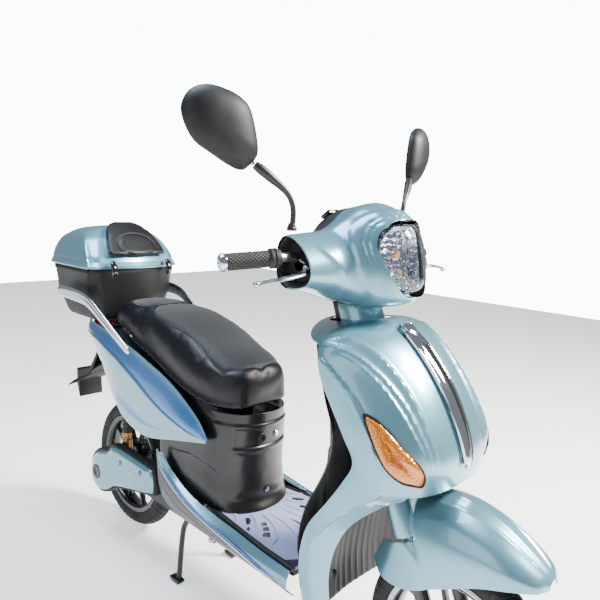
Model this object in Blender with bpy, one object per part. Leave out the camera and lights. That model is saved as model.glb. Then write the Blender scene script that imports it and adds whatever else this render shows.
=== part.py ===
# Electric moped scooter, modelled as an assembly of separate named pieces.
# Metres, +Z up, +X towards the front wheel, +Y towards the rider's left.
# Pieces are drawn from the rear axle forwards and moved by rearAxleX at the end.
import math

import bmesh
import bpy
from mathutils import Matrix, Vector

for old in list(bpy.data.objects):
    bpy.data.objects.remove(old, do_unlink=True)

# Overall sizes
rearAxleX = -0.551
wheelbase = 1.234
tyreRadius = 0.213
tyreHalf = 0.0305
rimRadius = tyreRadius - 0.0475
gap = 0.0004
skinThick = 0.0030

# Steering line and fork
rake = math.radians(23.0)
forkOffset = 0.023
legY = 0.062
sliderRadius = 0.0165
stanchionRadius = 0.0125
stemRadius = 0.0125
forkTravel = 0.045
crownLow = 0.350
crownHigh = 0.376

# Widths and heights of the body
floorTop = 0.305
floorFront = 0.915
shieldHalf = 0.178
caseHalf = 0.165
caseRear = -0.310
caseFront = 0.020
caseRim = 0.880
caseTop = 1.012
gripHalf = 0.345

# Drive and rear suspension
pivotX = 0.560
pivotZ = 0.210
armInner = 0.068
armOuter = 0.088
armHeight = 0.034
chainY = -0.052
chainringRadius = 0.042
freewheelRadius = 0.034
shockX = 0.107
shockY = 0.100
standX = 0.448
standPin = 0.0080
standZ = 0.279
standY = 0.0265

up = Vector((-math.sin(rake), 0.0, math.cos(rake)))
ahead = Vector((math.cos(rake), 0.0, math.sin(rake)))
# Everything is drawn round these two values and then moved to suit the driving ones
drawnWheelbase = 1.234
drawnRadius = 0.213
longer = wheelbase - drawnWheelbase
higher = tyreRadius - drawnRadius
frontAxle = Vector((drawnWheelbase, 0.0, drawnRadius))
rearAxle = Vector((0.0, 0.0, drawnRadius))
forkFoot = frontAxle - ahead * forkOffset
shift = Vector((rearAxleX, 0.0, 0.0))

looks = {
    "paint": ((0.42, 0.60, 0.66), 0.25, 0.35),
    "black": ((0.02, 0.02, 0.022), 0.45, 0.0),
    "gloss": ((0.012, 0.012, 0.014), 0.15, 0.0),
    "chrome": ((0.80, 0.82, 0.85), 0.10, 1.0),
    "steel": ((0.03, 0.03, 0.03), 0.40, 0.3),
    "alloy": ((0.55, 0.56, 0.58), 0.30, 1.0),
    "rubber": ((0.02, 0.02, 0.02), 0.80, 0.0),
    "tyre": ((0.015, 0.015, 0.016), 0.85, 0.0),
    "vinyl": ((0.02, 0.021, 0.023), 0.55, 0.0),
    "clear": ((0.85, 0.88, 0.92), 0.05, 0.0),
    "amber": ((0.85, 0.38, 0.02), 0.10, 0.0),
    "red": ((0.60, 0.02, 0.02), 0.10, 0.0),
    "mat": ((0.42, 0.44, 0.56), 0.50, 0.0),
    "battery": ((0.05, 0.06, 0.09), 0.50, 0.0),
}


def makeMaterial(name, look):
    colour, rough, metal = looks[look]
    material = bpy.data.materials.new(name)
    material.use_nodes = True
    shader = material.node_tree.nodes["Principled BSDF"]
    shader.inputs["Base Color"].default_value = (*colour, 1.0)
    shader.inputs["Roughness"].default_value = rough
    shader.inputs["Metallic"].default_value = metal
    material.diffuse_color = (*colour, 1.0)
    return material


bodies = {}


def placed(point, body=""):
    # The floor stretches with the wheelbase, and all above the ground rises with the wheels
    x, y, z = point
    forward = min(1.0, max(0.0, (x - 0.670) / 0.110))
    rise = min(1.0, max(0.0, (z - 0.020) / 0.100))
    if body in ("front_wheel", "rear_wheel"):
        forward = 1.0 if body == "front_wheel" else 0.0
        rise = 1.0
    return Vector((x + longer * forward, y, z + higher * rise))


def addBody(name, pivot, parent=None):
    empty = bpy.data.objects.new("body_" + name, None)
    bpy.context.scene.collection.objects.link(empty)
    place = placed(pivot, name)
    if parent is None:
        empty.location = place + shift
    else:
        empty.parent = bodies[parent][0]
        empty.location = place - bodies[parent][1]
    bodies[name] = (empty, place)


def addPiece(name, body, shape, look, sharp=40.0):
    verts, faces = shape
    empty, pivot = bodies[body]
    mesh = bpy.data.meshes.new(name)
    mesh.from_pydata([tuple(placed(v, body) - pivot) for v in verts], [], faces)
    work = bmesh.new()
    work.from_mesh(mesh)
    bmesh.ops.remove_doubles(work, verts=work.verts, dist=0.00005)
    bmesh.ops.recalc_face_normals(work, faces=work.faces)
    work.to_mesh(mesh)
    work.free()
    piece = bpy.data.objects.new(name, mesh)
    piece.parent = empty
    bpy.context.scene.collection.objects.link(piece)
    if look:
        mesh.materials.append(makeMaterial(name, look))
        mesh.shade_smooth()
        mesh.set_sharp_from_angle(angle=math.radians(sharp))
    return piece


def boolean(piece, tool, kind):
    tool.hide_render = True
    tool.display_type = "WIRE"
    step = piece.modifiers.new(kind.lower(), "BOOLEAN")
    step.operation = kind
    step.solver = "EXACT"
    step.object = tool


def joined(name, body, shapes, look):
    piece = addPiece(name, body, shapes[0], look)
    for number, shape in enumerate(shapes[1:]):
        boolean(piece, addPiece(f"{name}.add{number}", body, shape, None), "UNION")
    return piece


def cut(piece, body, shapes):
    for number, shape in enumerate(shapes):
        boolean(piece, addPiece(f"{piece.name}.cut{number}", body, shape, None), "DIFFERENCE")


# Curves and skins
def spline(points, steps):
    points = [Vector(p) for p in points]
    if steps == 1:
        return points
    result = []
    for i in range(len(points) - 1):
        b, c = points[i], points[i + 1]
        a = points[i - 1] if i else b * 2 - c
        d = points[i + 2] if i + 2 < len(points) else c * 2 - b
        for k in range(steps):
            t = k / steps
            bend = (a * -1 + b * 3 - c * 3 + d) * t ** 3
            bend += (a * 2 - b * 5 + c * 4 - d) * t ** 2
            bend += (c - a) * t
            result.append(b + bend * 0.5)
    result.append(points[-1])
    return result


def net(rows, rowSteps, columnSteps):
    across = [spline(row, columnSteps) for row in rows]
    columns = [spline(column, rowSteps) for column in zip(*across)]
    return [list(row) for row in zip(*columns)]


def sided(rows, side):
    return [[(x, side * w, z) for x, w, z in row] for row in rows]


def whole(rows):
    right = [[(x, -w, z) for x, w, z in reversed(row)] for row in rows]
    left = [[(x, w, z) for x, w, z in row[1:]] for row in rows]
    return [a + b for a, b in zip(right, left)]


def grid(rows, skip=None, closed=False):
    wide = len(rows[0])
    verts = [p for row in rows for p in row]
    faces = []
    for j in range(len(rows) - 1):
        for i in range(wide if closed else wide - 1):
            if skip and skip(j, i):
                continue
            k = (i + 1) % wide
            faces.append((j * wide + i, j * wide + k, (j + 1) * wide + k, (j + 1) * wide + i))
    used = sorted({v for face in faces for v in face})
    number = {v: n for n, v in enumerate(used)}
    return [verts[v] for v in used], [tuple(number[v] for v in face) for face in faces]


def thicken(shape, inside, thick=skinThick):
    verts, faces = shape
    verts = [Vector(v) for v in verts]
    normals = [Vector() for _ in verts]
    edges = {}
    for face in faces:
        corners = [verts[v] for v in face]
        normal = (corners[2] - corners[0]).cross(corners[3] - corners[1])
        for n, v in enumerate(face):
            normals[v] += normal.normalized()
            edges[(v, face[(n + 1) % 4])] = True
    away = sum(n.dot(v - Vector(inside)) for n, v in zip(normals, verts))
    sign = -thick if away > 0 else thick
    total = len(verts)
    inner = [v + n.normalized() * sign for n, v in zip(normals, verts)]
    back = [tuple(v + total for v in reversed(face)) for face in faces]
    rim = [(a + total, b + total, b, a) for a, b in edges if (b, a) not in edges]
    return verts + inner, faces + back + rim


def loft(rings):
    wide = len(rings[0])
    verts, faces = grid(rings, closed=True)
    last = (len(rings) - 1) * wide
    faces.append(tuple(reversed(range(wide))))
    faces.append(tuple(range(last, last + wide)))
    return verts, faces


def tube(path, radius, sides=8, flat=1.0, across=(0, 1, 0)):
    path = [Vector(p) for p in path]
    radii = radius if isinstance(radius, list) else [radius] * len(path)
    reference = Vector(across)
    rings = []
    for n, point in enumerate(path):
        ahead2 = path[min(n + 1, len(path) - 1)] - path[max(n - 1, 0)]
        side = (reference - ahead2 * (reference.dot(ahead2) / ahead2.dot(ahead2))).normalized()
        rise = ahead2.normalized().cross(side)
        ring = []
        for k in range(sides):
            angle = 2 * math.pi * (k + 0.5) / sides
            ring.append(point + (side * math.cos(angle) * flat + rise * math.sin(angle)) * radii[n])
        rings.append(ring)
    return loft(rings)


def bar(path, wide, high, across=(0, 1, 0)):
    path = [Vector(p) for p in path]
    reference = Vector(across)
    rings = []
    for n, point in enumerate(path):
        run = path[min(n + 1, len(path) - 1)] - path[max(n - 1, 0)]
        side = (reference - run * (reference.dot(run) / run.dot(run))).normalized() * wide / 2
        rise = run.normalized().cross(side.normalized()) * high / 2
        rings.append([point + side + rise, point - side + rise, point - side - rise, point + side - rise])
    return loft(rings)


def turned(profile, centre, axis, segments=24, ring=False, start=0.0):
    centre = Vector(centre)
    axis = Vector(axis).normalized()
    first = Vector((0, 0, -1)) if abs(axis.z) < 0.5 else Vector((0, 1, 0))
    first = (first - axis * first.dot(axis)).normalized()
    second = axis.cross(first)
    rows = []
    for k in range(segments):
        angle = start + 2 * math.pi * k / segments
        out = first * math.cos(angle) + second * math.sin(angle)
        rows.append([centre + out * r + axis * h for r, h in profile])
    wide = len(profile)
    verts = [p for row in rows for p in row]
    faces = []
    for k in range(segments):
        m = (k + 1) % segments
        for i in range(wide if ring else wide - 1):
            n = (i + 1) % wide
            loop = [k * wide + i, k * wide + n, m * wide + n, m * wide + i]
            if not ring and i == 0:
                loop = [k * wide + i, k * wide + n, m * wide + n]
            if not ring and i == wide - 2:
                loop = [k * wide + i, k * wide + n, m * wide + i]
            faces.append(tuple(loop))
    return verts, faces


def rod(a, b, radius, sides=12):
    a, b = Vector(a), Vector(b)
    long = (b - a).length
    return turned([(0, 0), (radius, 0), (radius, long), (0, long)], a, b - a, sides)


def box(low, high):
    x0, y0, z0 = low
    x1, y1, z1 = high
    ring0 = [(x0, y0, z0), (x1, y0, z0), (x1, y1, z0), (x0, y1, z0)]
    ring1 = [(x, y, z1) for x, y, _ in ring0]
    return loft([ring0, ring1])


def prism(outline, near, far):
    return loft([[near(*p) for p in outline], [far(*p) for p in outline]])


def sidePrism(outline, y0, y1):
    return prism(outline, lambda x, z: (x, y0, z), lambda x, z: (x, y1, z))


def forkPoint(t, n=0.0, y=0.0):
    return forkFoot + up * t + ahead * n + Vector((0, y, 0))


rightLeft = ((-1, "right"), (1, "left"))

addBody("chassis", (0, 0, 0))
addBody("steering", forkPoint(0.50), "chassis")
addBody("fork", forkPoint(0.0, forkOffset), "steering")
addBody("front_wheel", frontAxle, "fork")
addBody("swingarm", (pivotX, 0, pivotZ), "chassis")
addBody("rear_wheel", rearAxle, "swingarm")
addBody("freewheel", rearAxle, "swingarm")
addBody("crank", (pivotX, 0, pivotZ), "chassis")
addBody("stand", (standX, 0, standZ), "chassis")

# Wheels: tyre, cast wheel and hub
tyreWall = [(-0.0468, -0.025), (-0.033, -tyreHalf), (-0.017, -0.028), (-0.005, -0.018), (0, -0.006)]
tyreWall += [(0, 0.006), (-0.005, 0.018), (-0.017, 0.028), (-0.033, tyreHalf), (-0.0468, 0.025)]
tyreLining = [(-0.0468, 0.020), (-0.029, 0.0245), (-0.009, 0.010), (-0.009, -0.010), (-0.029, -0.0245)]
tyreLining.append((-0.0468, -0.020))
tyreProfile = [(tyreRadius + r, h) for r, h in tyreWall + tyreLining]
rimWall = [(-0.0155, -0.026), (0, -0.0265), (-0.0095, -0.019), (-0.0125, 0.0), (-0.0095, 0.019)]
rimWall += [(0, 0.0265), (-0.0155, 0.026), (-0.0215, 0.010), (-0.0215, -0.010)]
rimProfile = [(rimRadius + r, h) for r, h in rimWall]
axleRadius = 0.0060
hubBore = axleRadius + gap
spokeCount = 10


def wheelShapes(centre, hubRadius, hubHalf):
    hub = [(hubBore, -hubHalf), (hubRadius, -hubHalf), (hubRadius + 0.003, 0), (hubRadius, hubHalf)]
    shapes = [turned(rimProfile, centre, (0, 1, 0), 32, True)]
    verts = []
    faces = []
    for k in range(spokeCount):
        turn = Matrix.Rotation(2 * math.pi * (k + 0.5) / spokeCount, 3, "Y")
        inner = hubRadius - 0.006
        ends = [(inner, 0.0065, 0.013), (rimRadius - 0.019, 0.0045, 0.008)]
        rings = []
        for r, wide, deep in ends:
            ring = [(wide, deep, r), (-wide, deep, r), (-wide, -deep, r), (wide, -deep, r)]
            rings.append([centre + turn @ Vector(p) for p in ring])
        moreVerts, moreFaces = loft(rings)
        faces += [tuple(v + len(verts) for v in face) for face in moreFaces]
        verts += moreVerts
    shapes.append((verts, faces))
    shapes.append(turned(hub + [(hubBore, hubHalf)], centre, (0, 1, 0), 24, True))
    return shapes


frontHubHalf = 0.038
rearHubHalf = 0.038
addPiece("front_tyre", "front_wheel", turned(tyreProfile, frontAxle, (0, 1, 0), 32, True), "tyre")
joined("front_wheel", "front_wheel", wheelShapes(frontAxle, 0.040, frontHubHalf), "gloss")
addPiece("rear_tyre", "rear_wheel", turned(tyreProfile, rearAxle, (0, 1, 0), 32, True), "tyre")
joined("rear_wheel", "rear_wheel", wheelShapes(rearAxle, 0.078, rearHubHalf), "gloss")

# Fork: sliders with the axle below, stanchions with crown and stem above
sliderTop = 0.190
boreFloor = 0.012
stanchionFoot = boreFloor + forkTravel + 0.010
sliderBore = stanchionRadius + gap
slider = [(0, -0.034), (0.012, -0.034), (sliderRadius, -0.024), (sliderRadius, sliderTop)]
slider += [(sliderBore, sliderTop), (sliderBore, boreFloor), (0, boreFloor)]
sliders = [turned(slider, forkPoint(0, forkOffset, s * legY), up, 16) for s, _ in rightLeft]
axleBar = rod(frontAxle - Vector((0, legY, 0)), frontAxle + Vector((0, legY, 0)), axleRadius, 16)
plateIn = Vector((0, frontHubHalf + gap, 0))
plateOut = Vector((0, legY - sliderBore - 0.0002, 0))
brakePlate = rod(frontAxle + plateIn, frontAxle + plateOut, 0.034, 20)
joined("fork_lowers", "fork", [sliders[0], axleBar, brakePlate, sliders[1]], "steel")

crownRing = []
for t in (crownLow, crownHigh):
    corners = ((-0.030, -0.070), (-0.012, -0.080), (0.034, -0.080), (0.044, -0.066))
    ring = [forkPoint(t, n, y) for n, y in corners]
    crownRing.append(ring + [forkPoint(t, n, -y) for n, y in reversed(corners)])
stanchions = []
coverLow = 0.262
for s, _ in rightLeft:
    foot = forkPoint(0, forkOffset, s * legY)
    stanchions.append(rod(foot + up * stanchionFoot, foot + up * (crownLow + 0.015), stanchionRadius, 16))
    stanchions.append(rod(foot + up * coverLow, foot + up * (crownLow + 0.010), 0.0235, 16))
stem = rod(forkPoint(crownLow + 0.01), forkPoint(0.870), stemRadius, 16)
joined("fork_upper", "steering", [loft(crownRing), stem] + stanchions, "steel")

# Long front mudguard, open at the sides for the fork covers
fenderStations = [
    # ridge x, ridge z, half width, lower x, lower z
    (1.108, 0.520, 0.066, 1.062, 0.372),
    (1.135, 0.537, 0.084, 1.098, 0.350),
    (1.180, 0.548, 0.088, 1.155, 0.352),
    (1.240, 0.545, 0.086, 1.225, 0.384),
    (1.305, 0.528, 0.079, 1.300, 0.420),
    (1.358, 0.500, 0.067, 1.360, 0.437),
    (1.396, 0.474, 0.046, 1.399, 0.443),
    (1.412, 0.458, 0.016, 1.413, 0.445),
]
fenderHalf = []
for ridgeX, ridgeZ, half, lowX, lowZ in fenderStations:
    drop = ridgeZ - lowZ
    row = [(ridgeX, 0, ridgeZ), (ridgeX, half * 0.42, ridgeZ - drop * 0.06)]
    row.append((ridgeX * 0.9 + lowX * 0.1, half * 0.78, ridgeZ - drop * 0.24))
    row.append((ridgeX * 0.6 + lowX * 0.4, half * 0.97, ridgeZ - drop * 0.55))
    row.append((lowX, half * 0.98, lowZ))
    fenderHalf.append(row)
fenderInside = (wheelbase, 0, 0.35)
fenderSkin = thicken(grid(net(whole(fenderHalf), 2, 1)), fenderInside)
fender = addPiece("front_fender", "steering", fenderSkin, "paint")
notchLow = coverLow - 0.010
notches = []
for s, _ in rightLeft:
    near, far = s * 0.034, s * 0.110
    ring = [(n, y) for n, y in ((-0.080, near), (0.056, near), (0.056, far), (-0.080, far))]
    notches.append(loft([[forkPoint(t, n, y) for n, y in ring] for t in (notchLow, 0.520)]))
cut(fender, "steering", notches)

# Front shield: superellipse sections down the nose, then a leg each side of the wheel
shieldStations = [
    # nose x, nose z, edge x, edge half width, edge z, fullness
    (0.850, 0.858, 0.948, 0.166, 0.836, 1.5),
    (0.990, 0.877, 0.966, shieldHalf - 0.004, 0.832, 1.9),
    (1.053, 0.859, 0.974, shieldHalf + 0.006, 0.806, 2.0),
    (1.106, 0.819, 0.988, shieldHalf + 0.010, 0.770, 2.1),
    (1.158, 0.758, 1.016, shieldHalf + 0.008, 0.722, 2.3),
    (1.198, 0.687, 1.050, shieldHalf + 0.006, 0.668, 2.6),
    (1.217, 0.628, 1.074, shieldHalf + 0.002, 0.620, 2.8),
    (1.209, 0.570, 1.048, shieldHalf - 0.004, 0.570, 2.8),
]
legStations = [
    # arch x, arch half width, arch z, edge x, edge half width, edge z
    (1.118, 0.128, 0.528, 1.008, 0.174, 0.510),
    (1.050, 0.140, 0.465, 0.958, 0.172, 0.440),
    (1.020, 0.150, 0.405, 0.938, 0.171, 0.375),
    (1.010, 0.155, 0.340, 0.936, 0.169, 0.315),
    (1.014, 0.152, 0.262, 0.944, 0.164, 0.258),
]
archTurn = 44.0
noseTurns = [0.0, 15.0, 30.0, archTurn]
flankTurns = [archTurn + (90.0 - archTurn) * q for q in (0.25, 0.5, 0.75, 1.0)]


def shieldPoint(station, turn):
    noseX, noseZ, edgeX, half, edgeZ, full = station
    reach = math.cos(math.radians(turn)) ** (2 / full)
    wide = math.sin(math.radians(turn)) ** (2 / full)
    if turn >= 90.0:
        reach = 0.0
    return (edgeX + (noseX - edgeX) * reach, half * wide, edgeZ + (noseZ - edgeZ) * reach)


def legPoint(station, q):
    archX, archHalf, archZ, edgeX, half, edgeZ = station
    swell = 0.012 * math.sin(math.pi * q)
    wide = archHalf + (half - archHalf) * q + swell
    return (archX + (edgeX - archX) * q, wide, archZ + (edgeZ - archZ) * q)


shieldHalfRows = []
for station in shieldStations:
    shieldHalfRows.append([shieldPoint(station, turn) for turn in noseTurns + flankTurns])
for station in legStations:
    blank = [legPoint(station, 0.0)] * (len(noseTurns) - 1)
    flank = [legPoint(station, q) for q in (0.0, 0.25, 0.5, 0.75, 1.0)]
    shieldHalfRows.append(blank + flank)
shieldSteps = 1
shieldRows = whole(shieldHalfRows)
middle = len(noseTurns) + len(flankTurns) - 1
noseRows = (len(shieldStations) - 1) * shieldSteps


def archOpening(j, i):
    offset = i - middle if i >= middle else middle - 1 - i
    return j >= noseRows and offset < len(noseTurns) - 1


shieldInside = (0.95, 0, 0.55)
shieldSkin = thicken(grid(shieldRows, archOpening), shieldInside)
shield = addPiece("leg_shield", "chassis", shieldSkin, "paint")
neckHole = 0.068
cut(shield, "chassis", [rod(forkPoint(0.60), forkPoint(0.90), neckHole, 24)])

# Inner shield facing the rider's knees
innerStations = [
    # centre x, centre z, edge x, edge half width, edge z
    (0.846, 0.851, 0.948, 0.160, 0.826),
    (0.856, 0.800, 0.966, 0.172, 0.796),
    (0.874, 0.720, 0.990, 0.173, 0.722),
    (0.890, 0.640, 1.014, 0.172, 0.650),
    (0.895, 0.560, 0.992, 0.166, 0.565),
    (0.890, 0.470, 0.940, 0.163, 0.470),
    (0.900, 0.390, 0.920, 0.161, 0.385),
    (0.925, 0.325, 0.925, 0.158, 0.330),
]
innerHalf = []
for cx, cz, ex, half, ez in innerStations:
    row = [(cx, 0, cz), (cx + 0.006, half * 0.30, cz), (cx * 0.55 + ex * 0.45, half * 0.52, cz)]
    row += [(cx * 0.25 + ex * 0.75 - 0.006, half * 0.76, (cz + ez) / 2), (ex, half, ez)]
    innerHalf.append(row)
innerSkin = thicken(grid(net(whole(innerHalf), 1, 1)), (1.0, 0, 0.6))
inner = addPiece("inner_shield", "chassis", innerSkin, "black")
cut(inner, "chassis", [rod(forkPoint(0.60), forkPoint(0.90), neckHole, 24)])

# Splash guard behind the front wheel
linerHalf = []
for cx, ex, half, z in ((1.010, 1.040, 0.112, 0.500), (0.990, 1.006, 0.132, 0.430),
                        (0.978, 0.994, 0.138, 0.340), (0.984, 0.996, 0.136, 0.262)):
    linerHalf.append([(cx, 0, z), (cx + 0.002, half * 0.5, z), (ex, half, z)])
linerSkin = thicken(grid(net(whole(linerHalf), 2, 1)), (0.9, 0, 0.4), 0.0025)
addPiece("wheel_liner", "chassis", linerSkin, "black")

# Centre strip of the nose with its crest plate
stripRows = []
for x, z, half in ((1.040, 0.8665, 0.010), (1.072, 0.848, 0.022), (1.110, 0.8155, 0.025), (1.160, 0.7565,
        0.024),
                   (1.200, 0.6865, 0.021), (1.219, 0.630, 0.016), (1.2195, 0.606, 0.008)):
    lift = Vector((0.0060, 0, 0.0045))
    side = Vector((x - 0.0005, 0, z)) + lift * 0.55
    row = [(side.x, half, side.z), (x + lift.x + 0.003, 0, z + lift.z + 0.002)]
    stripRows.append([row[1], row[0]])
stripSkin = thicken(grid(net(whole(stripRows), 1, 2)), (0.95, 0, 0.6), 0.0022)
addPiece("horn_cover", "chassis", stripSkin, "chrome")
print("front done")

# Amber signals let into the lower corners of the nose
for s, name in rightLeft:
    outline = []
    for turn, share in ((58, 3.55), (66, 4.1), (67, 4.9), (60, 5.7), (50, 6.25), (43, 6.35), (46, 5.6), (52,
            4.7)):
        low = int(share)
        a = Vector(shieldPoint(shieldStations[low], turn))
        b = Vector(shieldPoint(shieldStations[min(low + 1, 7)], turn))
        p = a + (b - a) * (share - low)
        outline.append(Vector((p.x, s * p.y, p.z)))
    centre = sum(outline, Vector()) / len(outline)
    face = (outline[4] - outline[0]).cross(outline[6] - outline[2]).normalized()
    face = face if face.x > 0 else -face
    lens = loft([[p - face * 0.001 for p in outline],
            [p + (centre - p) * 0.12 + face * 0.013 for p in outline]])
    addPiece(f"turn_signal_{name}", "chassis", lens, "amber")
    pocket = [centre + (p - centre) * 1.03 for p in outline]
    cut(shield, "chassis", [loft([[p - face * 0.035 for p in pocket], [p + face * 0.030 for p in pocket]])])

# Floor: structural tray, ribbed mat, painted sills and black skirts
mat = []
for x, half in ((0.545, 0.118), (0.600, 0.126), (0.700, 0.139), (0.800, 0.151), (floorFront - 0.012,
        0.157)):
    mat.append((x, half))
matOutline = mat + [(x, -half) for x, half in reversed(mat)]
matBase = floorTop - 0.0085
addPiece("foot_mat", "chassis", prism(matOutline, lambda x, y: (x, y, matBase), lambda x, y: (x, y,
        floorTop)), "mat")
trayLow = matBase - 0.012
trayTop = matBase - gap
trayOutline = [(x, y * 0.96) for x, y in matOutline]
addPiece("floor_tray", "chassis", prism(trayOutline, lambda x, y: (x, y, trayLow), lambda x, y: (x, y,
        trayTop)), "black")

sillTop = [(0.372, 0.1440, 0.402), (0.425, 0.1440, 0.362), (0.500, 0.1430, 0.330), (0.600, 0.1400, 0.3090)]
sillTop += [(0.700, 0.1480, 0.3075), (0.800, 0.1590, 0.3060), (0.905, 0.1660, 0.3050)]
accent = [(0.350, 0.1500, 0.410), (0.385, 0.1570, 0.362), (0.493, 0.1640, 0.317), (0.600, 0.1670, 0.295)]
accent += [(0.700, 0.1695, 0.2830), (0.813, 0.1740, 0.271), (0.905, 0.1760, 0.264)]
skirtLow = [(0.346, 0.1440, 0.372), (0.352, 0.1400, 0.285), (0.420, 0.1380, 0.245), (0.530, 0.1380, 0.238)]
skirtLow += [(0.664, 0.1400, 0.235), (0.813, 0.1440, 0.234), (0.905, 0.1480, 0.236)]
for s, name in rightLeft:
    bulge = [((a[0] + b[0]) / 2, (a[1] + b[1]) / 2 + 0.004, (a[2] + b[2]) / 2) for a, b in zip(sillTop,
            accent)]
    rows = sided([sillTop, bulge, [(x, w, z + 0.0012) for x, w, z in accent]], s)
    addPiece(f"sill_{name}", "chassis", thicken(grid(net(rows, 1, 1)), (0.6, 0, 0.30), 0.0025), "paint")
    middleLine = [((a[0] + b[0]) / 2, (a[1] + b[1]) / 2 + 0.003, (a[2] + b[2]) / 2) for a, b in zip(accent,
            skirtLow)]
    rows = sided([[(x, w, z - 0.0020) for x, w, z in accent], middleLine, skirtLow], s)
    addPiece(f"skirt_{name}", "chassis", thicken(grid(net(rows, 1, 1)), (0.6, 0, 0.30), 0.0025), "black")

# Frame: head tube with down tube, floor rails with drive bracket, rear rails
railY = 0.074
railZ = 0.270
railRadius = 0.0130
headTube = turned([(stemRadius + 0.002, 0.400), (0.0225, 0.400), (0.0225, 0.600), (stemRadius + 0.002,
        0.600)],
                  forkFoot, up, 20, True)
downPath = [forkPoint(0.470, -0.020), (0.968, 0, 0.540), (0.956, 0, 0.430), (0.954, 0, 0.262)]
downTube = tube(spline(downPath, 2), 0.0175, 10)
frontCross = rod((0.948, -0.075, 0.262), (0.948, 0.075, 0.262), 0.0130)
head = joined("head_tube", "chassis", [headTube, downTube, frontCross], "steel")
cut(head, "chassis", [rod(forkPoint(0.380), forkPoint(0.620), stemRadius + 0.002, 20)])

railEnd = 0.925
shapes = []
for s, _ in rightLeft:
    shapes.append(rod((0.500, s * railY, railZ), (railEnd, s * railY, railZ), railRadius))
for x in (0.560, 0.760):
    shapes.append(rod((x, -0.104, railZ), (x, 0.104, railZ), 0.009))
shellBore = 0.0080 + gap
shell = [(shellBore, -0.042), (0.0180, -0.042), (0.0180, 0.042), (shellBore, 0.042)]
shapes.append(turned(shell, (pivotX, 0, pivotZ), (0, 1, 0), 20, True))
stubOuter = 0.0120
for s, _ in rightLeft:
    stub = [(shellBore, s * 0.066), (stubOuter, s * 0.066), (stubOuter, s * 0.108), (shellBore, s * 0.108)]
    plate = [(pivotX - 0.018, pivotZ + 0.010), (pivotX + 0.018, pivotZ + 0.010)]
    plate += [(pivotX + 0.014, railZ), (pivotX - 0.014, railZ)]
    shapes.append(turned(stub, (pivotX, 0, pivotZ), (0, 1, 0), 20, True))
    shapes.append(sidePrism(plate, s * 0.092, s * 0.100))
    shapes.append(sidePrism([(x, z + 0.004) for x, z in plate], s * 0.020, s * 0.030))
joined("floor_frame", "chassis", shapes, "steel")

rearPath = [(0.484, 0, 0.264), (0.430, 0, 0.285), (0.350, 0, 0.400), (0.290, 0, 0.520), (0.210, 0, 0.618)]
rearPath += [(0.100, 0, 0.655), (-0.108, 0, 0.667)]
shockTopZ = 0.640
rearShapes = []
for s, _ in rightLeft:
    path = [(x, s * railY, z) for x, y, z in rearPath]
    rearShapes.append(tube(spline(path, 2), 0.0125, 8))
    rodLow = (shockX, s * shockY, 0.330)
    rearShapes.append(rod(rodLow, (shockX, s * shockY, shockTopZ), 0.0060, 10))
    rearShapes.append(rod((shockX, s * shockY, 0.560), (shockX, s * shockY, shockTopZ + 0.01), 0.0155, 14))
for x, z, reach in ((shockX, 0.652, 0.112), (-0.092, 0.666, 0.080), (0.300, 0.500, 0.080)):
    rearShapes.append(rod((x, -reach, z), (x, reach, z), 0.0100))
pinEnd = railY + standY + 0.0075
rearShapes.append(rod((standX, -pinEnd, standZ), (standX, pinEnd, standZ), standPin, 16))
for x in (-0.070, 0.000):
    for s, _ in rightLeft:
        rearShapes.append(rod((x, s * railY, 0.660), (x, s * railY, 0.7112), 0.0090))
for s, _ in rightLeft:
    lug = [(0.000, s * railY, 0.700), (0.035, s * 0.100, 0.7030), (0.052, s * 0.134, 0.7165), (0.066,
            s * 0.1600, 0.738)]
    rearShapes.append(tube(spline(lug, 2), 0.0052, 8))
joined("rear_frame", "chassis", rearShapes, "steel")

addPiece("battery_pack", "chassis", box((0.395, -0.045, 0.325), (0.535, 0.045, 0.545)), "battery")

# Drive: crank spindle with chainring, freewheel and closed chain
ring = [(0, -0.120), (0.0080, -0.120), (0.0080, chainY - 0.003), (0.016, chainY - 0.003), (0.020,
        chainY - 0.0012)]
ring += [(chainringRadius, chainY - 0.0012), (chainringRadius, chainY + 0.0012), (0.020, chainY + 0.0012)]
ring += [(0.016, chainY + 0.003), (0.0080, chainY + 0.003), (0.0080, 0.120), (0, 0.120)]
addPiece("crank_spindle", "crank", turned(ring, (pivotX, 0, pivotZ), (0, 1, 0), 24), "alloy")
cog = [(hubBore, chainY - 0.007), (0.016, chainY - 0.007), (0.016, chainY - 0.0012), (freewheelRadius,
        chainY - 0.0012)]
cog += [(freewheelRadius, chainY + 0.0012), (0.016, chainY + 0.0012), (0.016, chainY + 0.007), (hubBore,
        chainY + 0.007)]
addPiece("freewheel", "freewheel", turned(cog, rearAxle, (0, 1, 0), 24, True), "steel")

chainPath = []
chainClear = 0.0008
spread = Vector((pivotX, 0, pivotZ)) - rearAxle
lean = math.asin((chainringRadius - freewheelRadius) / spread.length)
tilt = math.atan2(spread.z, spread.x)
for n in range(13):
    angle = -math.pi / 2 - lean + (math.pi + 2 * lean) * n / 12 + tilt
    chainPath.append((Vector((pivotX, 0, pivotZ)), chainringRadius, angle))
for n in range(11):
    angle = math.pi / 2 + lean + (math.pi - 2 * lean) * n / 10 + tilt
    chainPath.append((rearAxle, freewheelRadius, angle))
chainRows = []
for centre, radius, angle in chainPath:
    out = Vector((math.cos(angle), 0, math.sin(angle)))
    low = centre + out * (radius / math.cos(math.pi / 24) + chainClear)
    high = low + out * 0.006
    row = [low + Vector((0, chainY - 0.0040, 0)), high + Vector((0, chainY - 0.0040, 0))]
    chainRows.append(row + [high + Vector((0, chainY + 0.0040, 0)), low + Vector((0, chainY + 0.0040, 0))])
chainVerts = [p for row in chainRows for p in row]
chainFaces = []
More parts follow.
